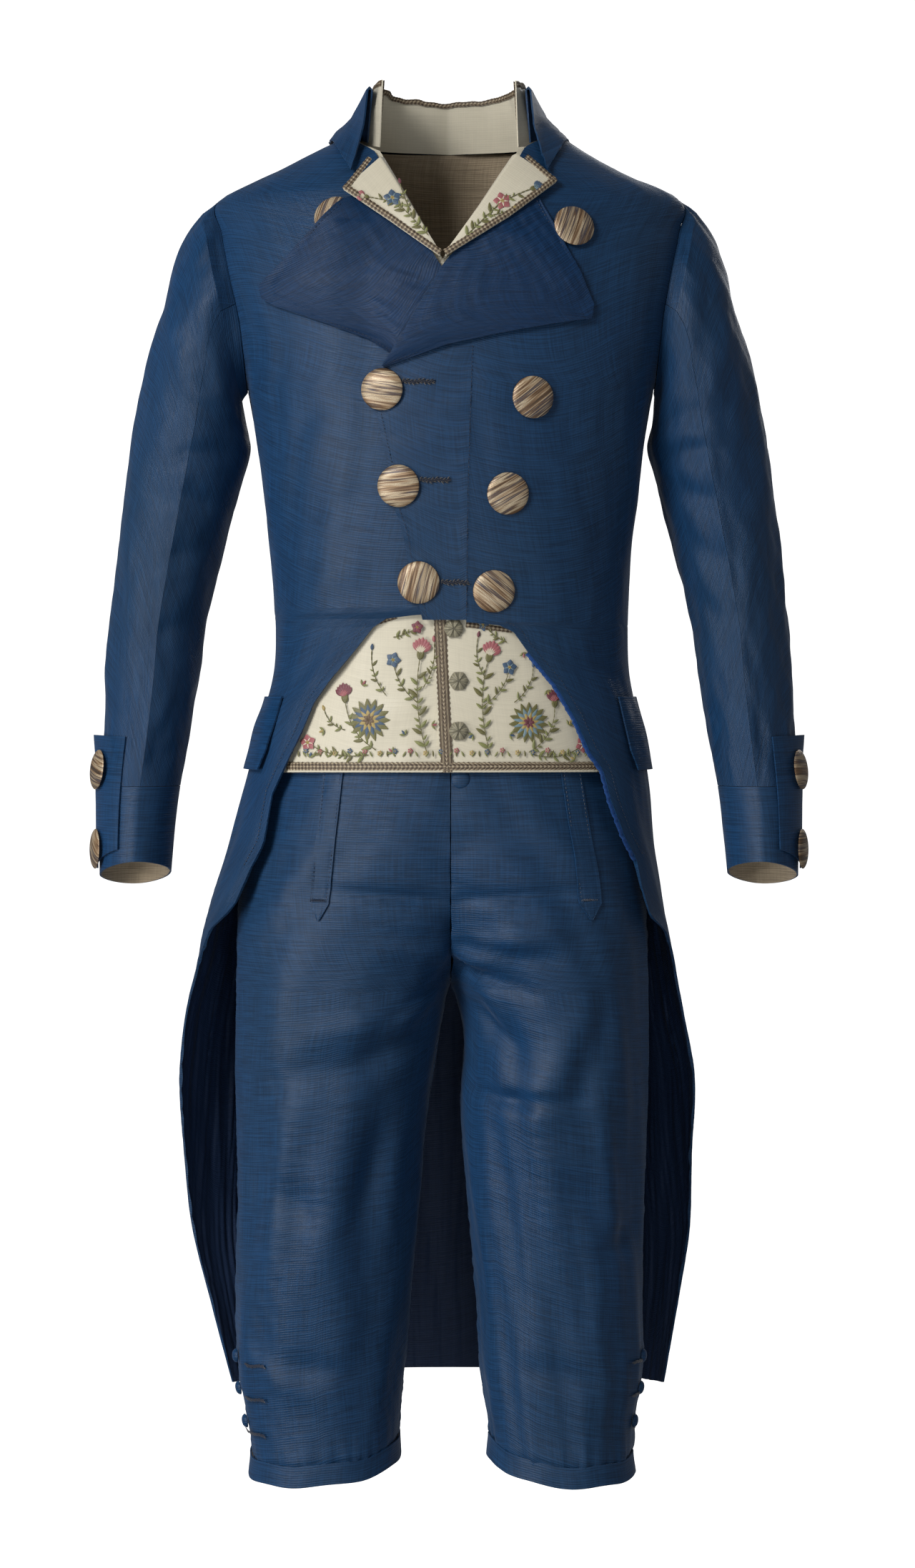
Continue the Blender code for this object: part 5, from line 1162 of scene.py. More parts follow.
# Columns: first turn, first z, last turn, last z, width, depth
LEFT_LEG_CREASES = (
    (8.0, -0.655, 57.0, -0.678, 0.0080, -0.0075), (45.0, -0.666, 102.0, -0.636, 0.0140, 0.0060),
    (34.0, -0.706, 72.0, -0.738, 0.0160, -0.0080), (24.0, -0.768, 86.0, -0.783, 0.0070, -0.0048),
    (80.0, -0.792, 106.0, -0.700, 0.0160, 0.0062),
    (104.0, -0.765, 122.0, -0.688, 0.0160, -0.0042), (120.0, -0.905, 150.0, -0.880, 0.0140, -0.0040),
    (40.0, -0.648, 96.0, -0.660, 0.0075, -0.0051), (34.0, -0.668, 84.0, -0.690, 0.0070, -0.0041),
    (60.0, -0.612, 120.0, -0.606, 0.0060, -0.0034), (30.0, -0.700, 66.0, -0.742, 0.0080, -0.0034),
    (52.0, -0.773, 104.0, -0.776, 0.0055, -0.0037), (80.0, -0.700, 92.0, -0.930, 0.0170, 0.0051),
    (112.0, -0.720, 126.0, -0.960, 0.0180, 0.0044), (52.0, -0.800, 60.0, -0.960, 0.0150, -0.0034),
    (64.0, -0.570, 100.0, -0.560, 0.0110, -0.0024), (110.0, -0.540, 140.0, -0.640, 0.0150, 0.0031),
    (96.0, -0.840, 120.0, -0.870, 0.0140, -0.0037), (70.0, -0.995, 118.0, -1.010, 0.0120, -0.0031),
    (100.0, -0.980, 150.0, -1.030, 0.0100, 0.0024), (130.0, -0.780, 150.0, -0.900, 0.0170, -0.0041),
)
RIGHT_LEG_CREASES = (
    (28.0, -0.690, 98.0, -0.722, 0.0130, 0.0060), (38.0, -0.725, 92.0, -0.754, 0.0130, -0.0068),
    (12.0, -0.640, 52.0, -0.627, 0.0080, -0.0054), (24.0, -0.657, 72.0, -0.648, 0.0120, 0.0048),
    (102.0, -0.760, 84.0, -0.960, 0.0180, 0.0050), (58.0, -0.800, 70.0, -0.880, 0.0150, -0.0044),
    (46.0, -0.616, 112.0, -0.604, 0.0060, -0.0044), (38.0, -0.650, 80.0, -0.640, 0.0070, -0.0037),
    (32.0, -0.680, 70.0, -0.712, 0.0080, -0.0041), (76.0, -0.690, 90.0, -0.920, 0.0180, 0.0051),
    (110.0, -0.710, 122.0, -0.950, 0.0170, 0.0041), (54.0, -0.760, 62.0, -0.940, 0.0160, -0.0034),
    (96.0, -0.745, 128.0, -0.770, 0.0150, -0.0037), (92.0, -0.868, 124.0, -0.850, 0.0160, -0.0041),
    (60.0, -0.560, 96.0, -0.552, 0.0110, -0.0020), (112.0, -0.550, 142.0, -0.650, 0.0150, 0.0031),
    (66.0, -1.002, 112.0, -0.990, 0.0110, -0.0031), (96.0, -1.020, 148.0, -0.985, 0.0100, 0.0024),
    (128.0, -0.800, 148.0, -0.930, 0.0170, -0.0037),
)


def leg_surface(side):
    """Give the surface of one leg as a function of turn and height.

    Turn 0 is the inner side, a quarter turn the front, a half turn the outer side.
    x = middle - side * radius * cosine, y = shift - depth * sine. The knee dips at the front.
    """
    first = 3 if side > 0 else 1

    def base(turn, z):
        turn, z = np.broadcast_arrays(turn, np.asarray(z, dtype=float))
        outer, inner_x, front, back, shift = (smooth(LEG_SECTIONS, z, k)
                                              for k in (first, first + 1, 5, 6, 7))
        middle, radius = (outer + inner_x) / 2, np.abs(outer - inner_x) / 2
        sine, cosine = np.sin(turn), np.cos(turn)
        x = middle - side * radius * signed_power(cosine, 2.0 / LEG_POWER)
        y = shift - np.where(sine > 0, front, back) * signed_power(sine, 2.0 / LEG_POWER)
        dip = KNEE_DIP * ease(-z, 0.95, 1.074) * sine
        return np.stack([x, y, z - dip], axis=-1)
    return base


def leg(side, turn, z, out):
    """Give a point of a leg, moved out."""
    turn, z, out = np.broadcast_arrays(turn, np.asarray(z, dtype=float), out)
    base = leg_surface(side)
    return base(turn, z) + side * outward(base, turn, z) * out[..., None]


def inner_turn(side, z):
    """Give the turn of a leg's inner edge: the middle seam above the crotch, then the inseam."""
    first = 3 if side > 0 else 1
    outer, inner_x = smooth(LEG_SECTIONS, z, first), smooth(LEG_SECTIONS, z, first + 1)
    middle, radius = (outer + inner_x) / 2, np.abs(outer - inner_x) / 2
    share = np.clip(side * (middle - CROTCH_SEAM_X) / radius, -1.0, 1.0)
    return np.arccos(signed_power(share, LEG_POWER / 2.0))


def leg_turn_at(side, x, z):
    """Give the turn at which the front of a leg has a given x."""
    first = 3 if side > 0 else 1
    outer, inner_x = smooth(LEG_SECTIONS, z, first), smooth(LEG_SECTIONS, z, first + 1)
    share = np.clip(side * ((outer + inner_x) / 2 - x) / (np.abs(outer - inner_x) / 2), -1.0, 1.0)
    return np.arccos(signed_power(share, LEG_POWER / 2.0))


def leg_relief(side, turns, heights, plain):
    """Give the relief of a leg: creases, soft ripples, and gathers above the knee band."""
    creases = LEFT_LEG_CREASES if side > 0 else RIGHT_LEG_CREASES
    relief = crease_relief(plain, leg_surface(side), creases)
    u, v = turns * 0.07, heights
    relief = relief + 0.0013 * ripple(u, v, 101 + side, 0.05, 0.36)
    relief = relief + 0.0002 * ripple(u, v, 104 + side, 0.02, 0.04)
    gathers = np.sin(turns * 34.0 + 1.6 * np.sin(turns * 7.0 + side)) * np.exp((KNEE_SEAM - heights) / 0.012)
    relief = relief + 0.0011 * gathers * (0.6 + 0.4 * np.sin(turns * 3.0 + 2.0 * side))
    return relief * (1.0 - 0.9 * ease(heights, -0.512, WAIST_SEAM))


def knee_slope(side, turns, points):
    """Raise the knee's inner side, and let the hem wander.

    The rise is KNEE_RISE times the square of half of 1 + cos turn, growing towards the hem.
    """
    points = points.copy()
    low = ease(-points[..., 2], 0.97, 1.06)
    rise = KNEE_RISE * (0.5 + 0.5 * np.cos(turns)) ** 2
    rise = rise + KNEE_WANDER * np.sin(2.0 * turns + side) * np.sin(5.0 * turns)
    points[..., 2] += low * rise
    return points


def leg_panel_grids(side, which):
    """Give the front or the back of one leg, from the waist seam to the knee band."""
    z = np.linspace(WAIST_SEAM - 0.0002, KNEE_SEAM - 0.0040, 190)
    inside = inner_turn(side, z) + 0.0025
    half = np.full_like(z, math.pi - 0.0022)
    columns = 62 if which == "front" else 34
    if which == "front":
        turns = between(inside, half, columns)
    else:
        turns = between(2 * math.pi - half, 2 * math.pi - inside, columns)
    heights = spread(z, columns)
    plain = leg_surface(side)(turns, heights)
    u, v = arcs(plain)
    relief = leg_relief(side, turns, heights, plain)
    for away in (u - u[:, :1], u[:, -1:] - u):
        relief = relief * (0.3 + 0.7 * ease(away, 0.0, 0.012)) + pucker(away, v, 107 + side, 0.009, 0.0005)
    relief = relief - 0.0017 * ease(-heights, -KNEE_SEAM - 0.0030, -KNEE_SEAM)
    return tuple(knee_slope(side, turns, leg(side, turns, heights, depth))
                 for depth in (relief, relief - BREECHES_WALL))


def waistband_grids():
    """Give the waistband, a ring that closes at the front."""
    z = np.linspace(WAIST_TOP, WAIST_SEAM + 0.0002, 14)
    halves = []
    for side in (-1, 1):
        inside = inner_turn(side, z)
        turns = between(inside, 2 * math.pi - inside, 60)
        heights = spread(z, 60)
        halves.append((leg(side, turns, heights, 0.0), leg(side, turns, heights, -BREECHES_WALL)))
    return tuple(np.concatenate([left[:, :-1], right[:, ::-1][:, :-1]], axis=1)
                 for right, left in zip(halves[0], halves[1]))


def knee_band_grids(side):
    """Give the band below one knee."""
    around = np.arange(130) * (2 * math.pi / 130)
    turns, z = np.meshgrid(around, np.linspace(KNEE_SEAM + 0.0004, KNEE_HEM, 14))
    lift = 0.0002 * ripple(turns * 0.06, z, 111 + side, 0.03, 0.03) + 0.0005
    depths = (lift, lift - KNEE_BAND_CLOTH)
    return tuple(knee_slope(side, turns, leg(side, turns, z, depth)) for depth in depths)


def fall_grids(side):
    """Give one pointed placket strip of the fall, lying on the front, with a stitched edge."""
    shape = LEFT_FALL if side > 0 else RIGHT_FALL
    z = np.concatenate([np.linspace(-0.494, -0.615, 60), np.linspace(-0.615, -0.6285, 14)[1:]])
    middle, half = along(shape, z, 1), along(shape, z, 2)
    x = between(middle - half, middle + half, 14)
    heights = spread(z, 14)
    turns = leg_turn_at(side, x, heights)
    edge = np.abs(np.linspace(-1.0, 1.0, 14))[None, :]
    relief = leg_relief(side, turns, heights, leg_surface(side)(turns, heights))
    lift = STRIP_LIFT + relief - 0.0003 * np.exp(-((edge - 0.72) / 0.10) ** 2)
    return leg(side, turns, heights, lift + STRIP_WALL), leg(side, turns, heights, lift)


for side, word in ((-1, "right"), (1, "left")):
    for which in ("front", "back"):
        dress(f"leg_{which}_{word}", [f"breeches_{which}_{word}"], leg_panel_grids(side, which),
              (blue_silk, linen))
    dress(f"knee_{word}", [f"knee_band_{word}"], knee_band_grids(side), (blue_silk, linen),
          closed=True)
    dress(f"fall_{word}", [f"fall_placket_{word}"], fall_grids(side), (blue_silk, blue_silk))
dress("waistband", ["breeches_waistband"], waistband_grids(), (blue_silk, linen),
      closed=True)

# %% [markdown]
# The large buttons are domes covered side by side with strips of metal and thread. Each was sewn
# on as it came, so the strips lie at another angle on every one. The waistcoat's buttons are
# small rosettes of thread, and those at the knees are covered in the silk of the breeches.

# %% Buttons of all kinds
# Columns: name, x, z, height of the seat over the cloth, angle of the strips in degrees
FRONT_BUTTONS = (
    ("coat_button_right_1", -0.0920, -0.0600, 0.0010, 12.0),
    ("coat_button_left_1", 0.1000, -0.0690, 0.0030, 24.0),
    ("coat_button_right_2", -0.0530, -0.2020, 0.0014, 98.0),
    ("coat_button_left_2", 0.0670, -0.2080, 0.0010, 52.0),
    ("coat_button_right_3", -0.0400, -0.2790, 0.0014, 84.0),
    ("coat_button_left_3", 0.0470, -0.2850, 0.0012, 61.0),
    ("coat_button_right_4", -0.0240, -0.3560, 0.0014, 14.0),
    ("coat_button_left_4", 0.0360, -0.3630, 0.0010, 128.0),
)
COAT_BUTTON_ACROSS = 0.0340
COAT_BUTTON_HEIGHT = 0.0046
CUFF_BUTTON_ACROSS = 0.0330
VEST_BUTTON_ACROSS = 0.0150
VEST_BUTTON_HEIGHT = 0.0042
KNEE_BUTTON_ACROSS = 0.0116
KNEE_BUTTON_TURN = 164.0
KNEE_BUTTON_HEIGHT = 0.0040
WAIST_BUTTON = (0.0095, -0.5140)
WAIST_BUTTON_HEIGHT = 0.0024
# Columns: ring, turn, height of the seat, angle of the strips in degrees
CUFF_BUTTONS = ((12.70, 24.0, 0.0026, 84.0), (14.50, 18.0, 0.0016, 70.0))
KNEE_BUTTON_HEIGHTS = (-0.992, -1.018, -1.045)
# Columns: share of the radius, share of the height
DOME = ((0.00, 0.00), (0.93, 0.02), (0.985, 0.09), (1.00, 0.18), (0.985, 0.29), (0.94, 0.42), (0.86, 0.58),
        (0.74, 0.74), (0.58, 0.87), (0.40, 0.95), (0.20, 0.99), (0.00, 1.00))


def round_button(name, node, seat, direction, across, height, look, angle=0.0, petals=0):
    """Turn a domed profile round its direction. Petals make the dome of a thread rosette."""
    sides, rings = 64, 30
    profile = np.array(DOME)
    steps = np.linspace(0.0, len(profile) - 1.0, rings)
    radius, rise = (np.interp(steps, np.arange(len(profile)), profile[:, k]) for k in range(2))
    direction = unit(np.asarray(direction, dtype=float))
    aside = unit(np.cross(direction, (0.0, 0.0, 1.0)))
    upright = np.cross(aside, direction)
    turns = np.arange(sides) * (2 * math.pi / sides)
    lobes = 1.0 + (0.10 * np.cos(petals * turns) if petals else 0.0 * turns)
    wide = radius[:, None] * (1.0 + (lobes[None, :] - 1.0) * ease(steps, 2.0, 5.0)[:, None])
    ring_swell = np.sin(math.pi * np.clip(radius, 0, 1))[:, None]
    tall = rise[:, None] * (1.0 + 1.6 * (lobes[None, :] - 1.0) * ring_swell)
    arm_x, arm_y = wide * np.cos(turns) * across / 2, wide * np.sin(turns) * across / 2
    points = (np.asarray(seat) + arm_x[..., None] * aside + arm_y[..., None] * upright
              + (tall * height)[..., None] * direction)
    index = np.arange(rings * sides).reshape(rings, sides)
    after = np.roll(index, -1, axis=1)
    quads = np.stack([index[:-1], index[1:], after[1:], after[:-1]], axis=-1).reshape(-1, 4)
    a, b, d = (points.reshape(-1, 3)[quads[len(quads) // 2, k]] for k in (0, 1, 3))
    if np.dot(np.cross(b - a, d - a), direction) < 0:
        quads = quads[:, ::-1]
    turn = radians(angle)
    flat = np.stack([arm_x * np.cos(turn) + arm_y * np.sin(turn),
                     arm_y * np.cos(turn) - arm_x * np.sin(turn)], axis=-1)
    flat = flat.reshape(-1, 2) + np.array([angle * 0.013, angle * 0.007])
    made = make_mesh(name, points.reshape(-1, 3), quads, flat, np.zeros(len(quads), dtype=np.int32), (look,))
    if petals:
        shade = 0.5 + 0.5 * np.cos(petals * 3 * turns)[None, :] * np.ones((rings, 1))
        tint = (np.array([0.15, 0.14, 0.10]) * (1.0 - shade[..., None])
                + np.array([0.30, 0.27, 0.18]) * shade[..., None])
        tint = tint * (0.45 + 0.55 * ease(radius, 0.0, 0.35))[:, None, None]
        paint(made, tint.reshape(-1, 3))
    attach(made, "root")
    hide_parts(node)
    return made


def paint(made, colours):
    """Keep a colour at each point of a mesh, for the floss material."""
    layer = made.data.attributes.new("floss", "FLOAT_COLOR", "POINT")
    full = np.concatenate([colours, np.ones((len(colours), 1))], axis=1)
    layer.data.foreach_set("color", np.ascontiguousarray(full, dtype=np.float32).ravel())


for node, x, z, out, angle in FRONT_BUTTONS:
    turn = turn_at(x, z)
    direction = outward(coat_base, turn, np.asarray(z), 0.12, 0.016)
    round_button(f"front_{node[5:]}", node, coat(turn, z, out), direction,
                 COAT_BUTTON_ACROSS, COAT_BUTTON_HEIGHT,
                 metal_thread, angle)
for side, word in ((-1, "right"), (1, "left")):
    for number, (ring, turn, lift, angle) in enumerate(CUFF_BUTTONS, 1):
        turn = radians(turn)
        direction = side * outward(sleeve_surface(side), turn, np.asarray(ring), 0.45, 0.30)
        seat = sleeve(side, turn, np.asarray(ring), PLACKET_LIFT + COAT_WALL + lift)
        round_button(f"sleeve_button_{word}_{number}", f"cuff_button_{word}_{number}", seat, direction,
                     CUFF_BUTTON_ACROSS, COAT_BUTTON_HEIGHT, metal_thread,
                     angle * side + 9.0 * number)
    for number, z in enumerate(KNEE_BUTTON_HEIGHTS, 1):
        turn = radians(KNEE_BUTTON_TURN)
        direction = side * outward(leg_surface(side), turn, np.asarray(z))
        round_button(f"knee_stud_{word}_{number}", f"knee_button_{word}_{number}", leg(side, turn, z, 0.0008),
                     direction, KNEE_BUTTON_ACROSS, KNEE_BUTTON_HEIGHT, blue_silk)
for number, (x, z) in enumerate(VEST_BUTTONS, 1):
    direction = outward(coat_base, turn_at(x, z), np.asarray(z))
    round_button(f"rosette_{number}", f"waistcoat_button_{number}",
                 waistcoat(turn_at(x, z), z, 0.0009), direction,
                 VEST_BUTTON_ACROSS, VEST_BUTTON_HEIGHT, floss, petals=6)
x, z = WAIST_BUTTON
turn = leg_turn_at(1, x, z)
round_button("waist_stud", "waist_button", leg(1, turn, z, 0.0006),
             outward(leg_surface(1), turn, np.asarray(z)),
             VEST_BUTTON_ACROSS, WAIST_BUTTON_HEIGHT, blue_silk)
print("buttons made: 22")

# %% [markdown]
# All the needlework is made of one thing, a small raised stitch shaped like a petal. A flower is
# a ring of them, a leaf is one, a stem or a buttonhole is a chain of narrow ones. The flowers here
# are a plain design of sprays in the colours of the time.

# %% One stitch, and what is made of it
ROSE = (0.33, 0.10, 0.11)
DEEP_ROSE = (0.15, 0.035, 0.05)
BLUE = (0.045, 0.085, 0.15)
PALE_BLUE = (0.16, 0.24, 0.28)
OLIVE = (0.13, 0.12, 0.035)
LEAF_GREEN = (0.20, 0.21, 0.07)
YELLOW = (0.38, 0.28, 0.09)
BROWN = (0.13, 0.08, 0.04)
SMALL_FLOWERS = (ROSE, BLUE, YELLOW)
KNEE_HOLE_HEIGHTS = (-0.995, -1.022, -1.051)
CREAM, DARK_BLUE, GREY_BROWN = (0.62, 0.55, 0.42), (0.004, 0.010, 0.030), (0.105, 0.090, 0.075)
GOLDEN_TURN = 2.399963


class Needle:
    """Gathers stitches: each has a root x and z, an angle, a length, a width and a colour."""

    def __init__(self):
        self.rows = []

    def stitch(self, x, z, angle, length, width, colour, rise=0.0006, blunt=0.8):
        """Lay one stitch from its root in the direction of its angle."""
        self.rows.append((x, z, angle, length, width, rise, blunt, *colour))

    def bloom(self, x, z, size, colour, heart, petals=5, turn=0.0):
        """Lay a round flower: petals about a heart, with small ones between them."""
        for k in range(petals):
            angle = turn + 2 * math.pi * k / petals
            self.stitch(x, z, angle, size, size * 4.2 / petals, colour)
            self.stitch(x, z, angle + math.pi / petals, size * 0.66, size * 0.26, heart, 0.0008)
        for k in range(7):
            self.stitch(x, z, k * GOLDEN_TURN, size * 0.30, size * 0.22, YELLOW, 0.0010)

    def dahlia(self, x, z, size, colours, turn=0.0):
        """Lay a large round flower of several rings of petals."""
        for ring, (share, colour) in enumerate(zip((1.0, 0.78, 0.56, 0.36), colours)):
            count = (15, 13, 10, 7)[ring]
            for k in range(count):
                angle = turn + ring * 0.21 + 2 * math.pi * k / count
                petal_width = size * share * 5.2 / count
                self.stitch(x, z, angle, size * share, petal_width, colour, 0.0005 + 0.0003 * ring)

    def carnation(self, x, z, angle, size, colour, edge):
        """Lay a flower seen from its side: a green cup with a fan of petals."""
        root_x, root_z = x + math.cos(angle) * size * 0.35, z + math.sin(angle) * size * 0.35
        for k in range(-3, 4):
            lean = angle + k * 0.27
            reach = size * (0.80 - 0.045 * abs(k))
            self.stitch(root_x, root_z, lean, reach, size * 0.30, colour, 0.0006, 1.5)
            self.stitch(root_x, root_z, lean + 0.13, reach * 0.62, size * 0.12, edge, 0.0009)
        for k in (-1, 0, 1):
            self.stitch(x, z, angle + k * 0.30, size * 0.52, size * 0.24, OLIVE, 0.0009)

    def spray(self, path, leaves, flower, size, colour, heart, leaf=LEAF_GREEN):
        """Lay a bent stem with leaves at both sides of it and a flower at its end."""
        steps = np.linspace(0.0, 1.0, 2 + 2 * leaves + 4)
        (x0, z0), (x1, z1), (x2, z2) = path
        xs = (1 - steps) ** 2 * x0 + 2 * steps * (1 - steps) * x1 + steps**2 * x2
        zs = (1 - steps) ** 2 * z0 + 2 * steps * (1 - steps) * z1 + steps**2 * z2
        for k in range(len(steps) - 1):
            reach = math.hypot(xs[k + 1] - xs[k], zs[k + 1] - zs[k])
            angle = math.atan2(zs[k + 1] - zs[k], xs[k + 1] - xs[k])
            self.stitch(xs[k], zs[k], angle, reach * 1.25, 0.0009, OLIVE, 0.0004, 0.5)
            if 0 < k < len(steps) - 3:
                way = 1 if k % 2 else -1
                length = size * (0.75 + 0.25 * math.sin(k * 2.3))
                self.stitch(xs[k], zs[k], angle + way * 0.85, length, length * 0.34, leaf if k % 3 else OLIVE)
                if k % 3 == 1:
                    self.stitch(xs[k], zs[k], angle - way * 0.9, length * 0.6, length * 0.26, LEAF_GREEN)
        if flower == "bloom":
            self.bloom(x2, z2, size * 0.85, colour, heart, 5, x0 * 50)
        elif flower == "carnation":
            self.carnation(x2, z2, math.atan2(z2 - z1, x2 - x1), size * 1.5, colour, heart)
        elif flower == "bud":
            self.stitch(x2, z2, math.atan2(z2 - z1, x2 - x1), size * 0.8, size * 0.42, colour, 0.0010)

    def line(self, points, pitch, length, width, colour, slant=0.0, rise=0.0004):
        """Lay stitches along a line at an even pitch, each turned by a slant."""
        points = np.array(points, dtype=float)
        run = np.concatenate([[0.0], np.cumsum(np.linalg.norm(np.diff(points, axis=0), axis=1))])
        for number, at in enumerate(np.arange(0.0, run[-1] - length * 0.5, pitch)):
            x, z = (np.interp(at, run, points[:, k]) for k in range(2))
            x2, z2 = (np.interp(at + 0.001, run, points[:, k]) for k in range(2))
            lean = slant if np.ndim(slant) == 0 else slant[number % len(slant)]
            self.stitch(x, z, math.atan2(z2 - z, x2 - x) + lean, length, width, colour, rise, 0.5)

    def sew(self, name, surface, lift=0.0):
        """Make one mesh of all stitches on surface(x, z, out), and let it ride on the suit."""
        rows = np.array(self.rows)
        x, z, angle, length, width, rise, blunt = (rows[:, k, None, None] for k in range(7))
        reach = np.linspace(0.0, 1.0, 7)[None, :, None]
        across = np.linspace(-1.0, 1.0, 5)[None, None, :]
        shape = np.sin(math.pi * np.clip(reach, 0.02, 0.985) ** blunt) ** 0.75
        ahead = reach * length
        aside = across * shape * width / 2
        flat_x = x + ahead * np.cos(angle) - aside * np.sin(angle)
        flat_z = z + ahead * np.sin(angle) + aside * np.cos(angle)
        height = lift + rise * (1.0 - 0.85 * across**2) * (0.35 + 0.65 * shape)
        points = surface(flat_x, flat_z, height).reshape(-1, 3)
        first = (np.arange(len(rows)) * 35)[:, None, None]
        corner = first + (np.arange(6) * 5)[None, :, None] + np.arange(4)[None, None, :]
        quads = np.stack([corner, corner + 1, corner + 6, corner + 5], axis=-1).reshape(-1, 4)
        a, b, d = points[quads[:, 0]], points[quads[:, 1]], points[quads[:, 3]]
        if np.cross(b - a, d - a)[:, 1].sum() > 0:
            quads = quads[:, ::-1]
        flat = np.stack(np.broadcast_arrays(ahead + x, across * width / 2 + z), axis=-1).reshape(-1, 2)
        made = make_mesh(name, points, quads, flat, np.zeros(len(quads), dtype=np.int32), (floss,))
        shade = 0.82 + 0.30 * reach + 0.0 * across
        paint(made, (rows[:, None, None, 7:10] * shade[..., None]).reshape(-1, 3))
        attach(made, "root")
        print(f"{name}: {len(rows)} stitches")
        return made


def on_vest(x, z, out):
    """Give a place on the waistcoat's fronts."""
    return waistcoat(turn_at(x, z), z, out)


def on_coat(x, z, out):
    """Give a place on the coat's fronts."""
    return coat(turn_at(x, z), z, out)


def on_vest_lapel(side):
    """Give the surface of one waistcoat lapel by x and z."""
    return lambda x, z, out: coat(turn_at(x, z), z, 0.0070 + bump(x, z) * (side < 0) + out)

# %% Flowers on the waistcoat
# Columns: the stem's root, bend and end, leaf pairs, flower, size, colour, heart
SPRAYS = (
    (((-0.018, -0.492), (-0.030, -0.455), (-0.024, -0.418)), 5, "carnation", 0.0105, ROSE, CREAM),
    (((-0.026, -0.452), (-0.044, -0.438), (-0.046, -0.418)), 2, "bloom", 0.0075, BLUE, PALE_BLUE),
    (((-0.021, -0.440), (-0.010, -0.425), (-0.012, -0.404)), 2, "bud", 0.0070, ROSE, CREAM),
    (((-0.060, -0.490), (-0.082, -0.478), (-0.086, -0.452)), 3, "carnation", 0.0095, DEEP_ROSE, ROSE),
    (((-0.066, -0.494), (-0.098, -0.498), (-0.118, -0.484)), 4, "bloom", 0.0080, ROSE, CREAM),
    (((-0.052, -0.446), (-0.066, -0.430), (-0.064, -0.410)), 2, "bud", 0.0065, BLUE, PALE_BLUE),
    (((-0.086, -0.474), (-0.100, -0.470), (-0.104, -0.458)), 1, "bud", 0.0060, YELLOW, ROSE),
    (((0.034, -0.494), (0.022, -0.452), (0.032, -0.420)), 5, "carnation", 0.0105, ROSE, CREAM),
    (((0.028, -0.455), (0.048, -0.442), (0.050, -0.424)), 2, "bloom", 0.0075, BLUE, PALE_BLUE),
    (((0.030, -0.432), (0.020, -0.420), (0.024, -0.400)), 2, "bud", 0.0065, DEEP_ROSE, CREAM),
    (((0.066, -0.492), (0.088, -0.480), (0.088, -0.456)), 3, "carnation", 0.0090, DEEP_ROSE, ROSE),
    (((0.070, -0.494), (0.094, -0.500), (0.112, -0.486)), 3, "bloom", 0.0078, ROSE, CREAM),
    (((0.054, -0.452), (0.070, -0.440), (0.070, -0.424)), 2, "bud", 0.0065, BLUE, PALE_BLUE),
    (((-0.046, -0.400), (-0.034, -0.398), (-0.026, -0.392)), 2, "bloom", 0.0062, DEEP_ROSE, ROSE),
    (((0.048, -0.404), (0.038, -0.400), (0.028, -0.390)), 2, "bloom", 0.0062, BLUE, PALE_BLUE),
)
SPRIGS = (
    (-0.072, -0.438), (-0.036, -0.478), (-0.104, -0.474), (0.062, -0.412), (0.050, -0.478),
    (0.100, -0.470), (-0.046, -0.492), (0.020, -0.478), (0.082, -0.442), (-0.014, -0.470),
    (-0.116, -0.496), (0.105, -0.498),
)

flowers = Needle()
for path, leaves, kind, size, colour, heart in SPRAYS:
    flowers.spray(path, leaves, kind, size, colour, heart)
flowers.dahlia(-0.066, -0.466, 0.0175, (OLIVE, BLUE, YELLOW, BROWN))
flowers.dahlia(0.066, -0.468, 0.0165, (OLIVE, PALE_BLUE, YELLOW, DEEP_ROSE), 0.3)
for number, (x, z) in enumerate(SPRIGS):
    turn = number * 1.3
    for k in range(3):
        sprig_colour = LEAF_GREEN if k != 1 else SMALL_FLOWERS[number % 3]
        flowers.stitch(x, z, turn + k * 0.9, 0.0048, 0.0018, sprig_colour)
for number in range(40):
    x = -0.126 + number * 0.0063
    border_lean = 1.57 + 0.6 * math.sin(number * 2.1)
    flowers.stitch(x, -0.4955, border_lean, 0.0052, 0.0016, LEAF_GREEN if number % 3 else OLIVE)
    if number % 2:
        flowers.bloom(x, -0.4915 + 0.0012 * math.sin(number), 0.0024, SMALL_FLOWERS[number % 3], CREAM, 5)
flowers.sew("flowers", on_vest, 0.0010)

for side, word in ((-1, "right"), (1, "left")):
    lapel_flowers = Needle()
    if side < 0:
        lapel_flowers.spray(((-0.016, -0.080), (-0.028, -0.066), (-0.044, -0.050)),
                            4, "bloom", 0.0085, BLUE, PALE_BLUE)
        lapel_flowers.spray(((-0.036, -0.056), (-0.046, -0.052), (-0.062, -0.050)),
                            2, "carnation", 0.0060, ROSE, CREAM)
        lapel_flowers.spray(((-0.030, -0.060), (-0.036, -0.048), (-0.038, -0.038)),
                            1, "bud", 0.0060, DEEP_ROSE, ROSE)
    else:
        lapel_flowers.spray(((0.012, -0.082), (0.026, -0.068), (0.042, -0.052)),
                            4, "bloom", 0.0085, ROSE, CREAM)
        lapel_flowers.spray(((0.036, -0.058), (0.048, -0.048), (0.064, -0.042)),
                            2, "carnation", 0.0065, BLUE, PALE_BLUE)
        lapel_flowers.spray(((0.028, -0.064), (0.040, -0.064), (0.050, -0.058)),
                            1, "bud", 0.0055, YELLOW, ROSE)
    lapel_flowers.sew(f"lapel_flowers_{word}", on_vest_lapel(side), 0.0007)

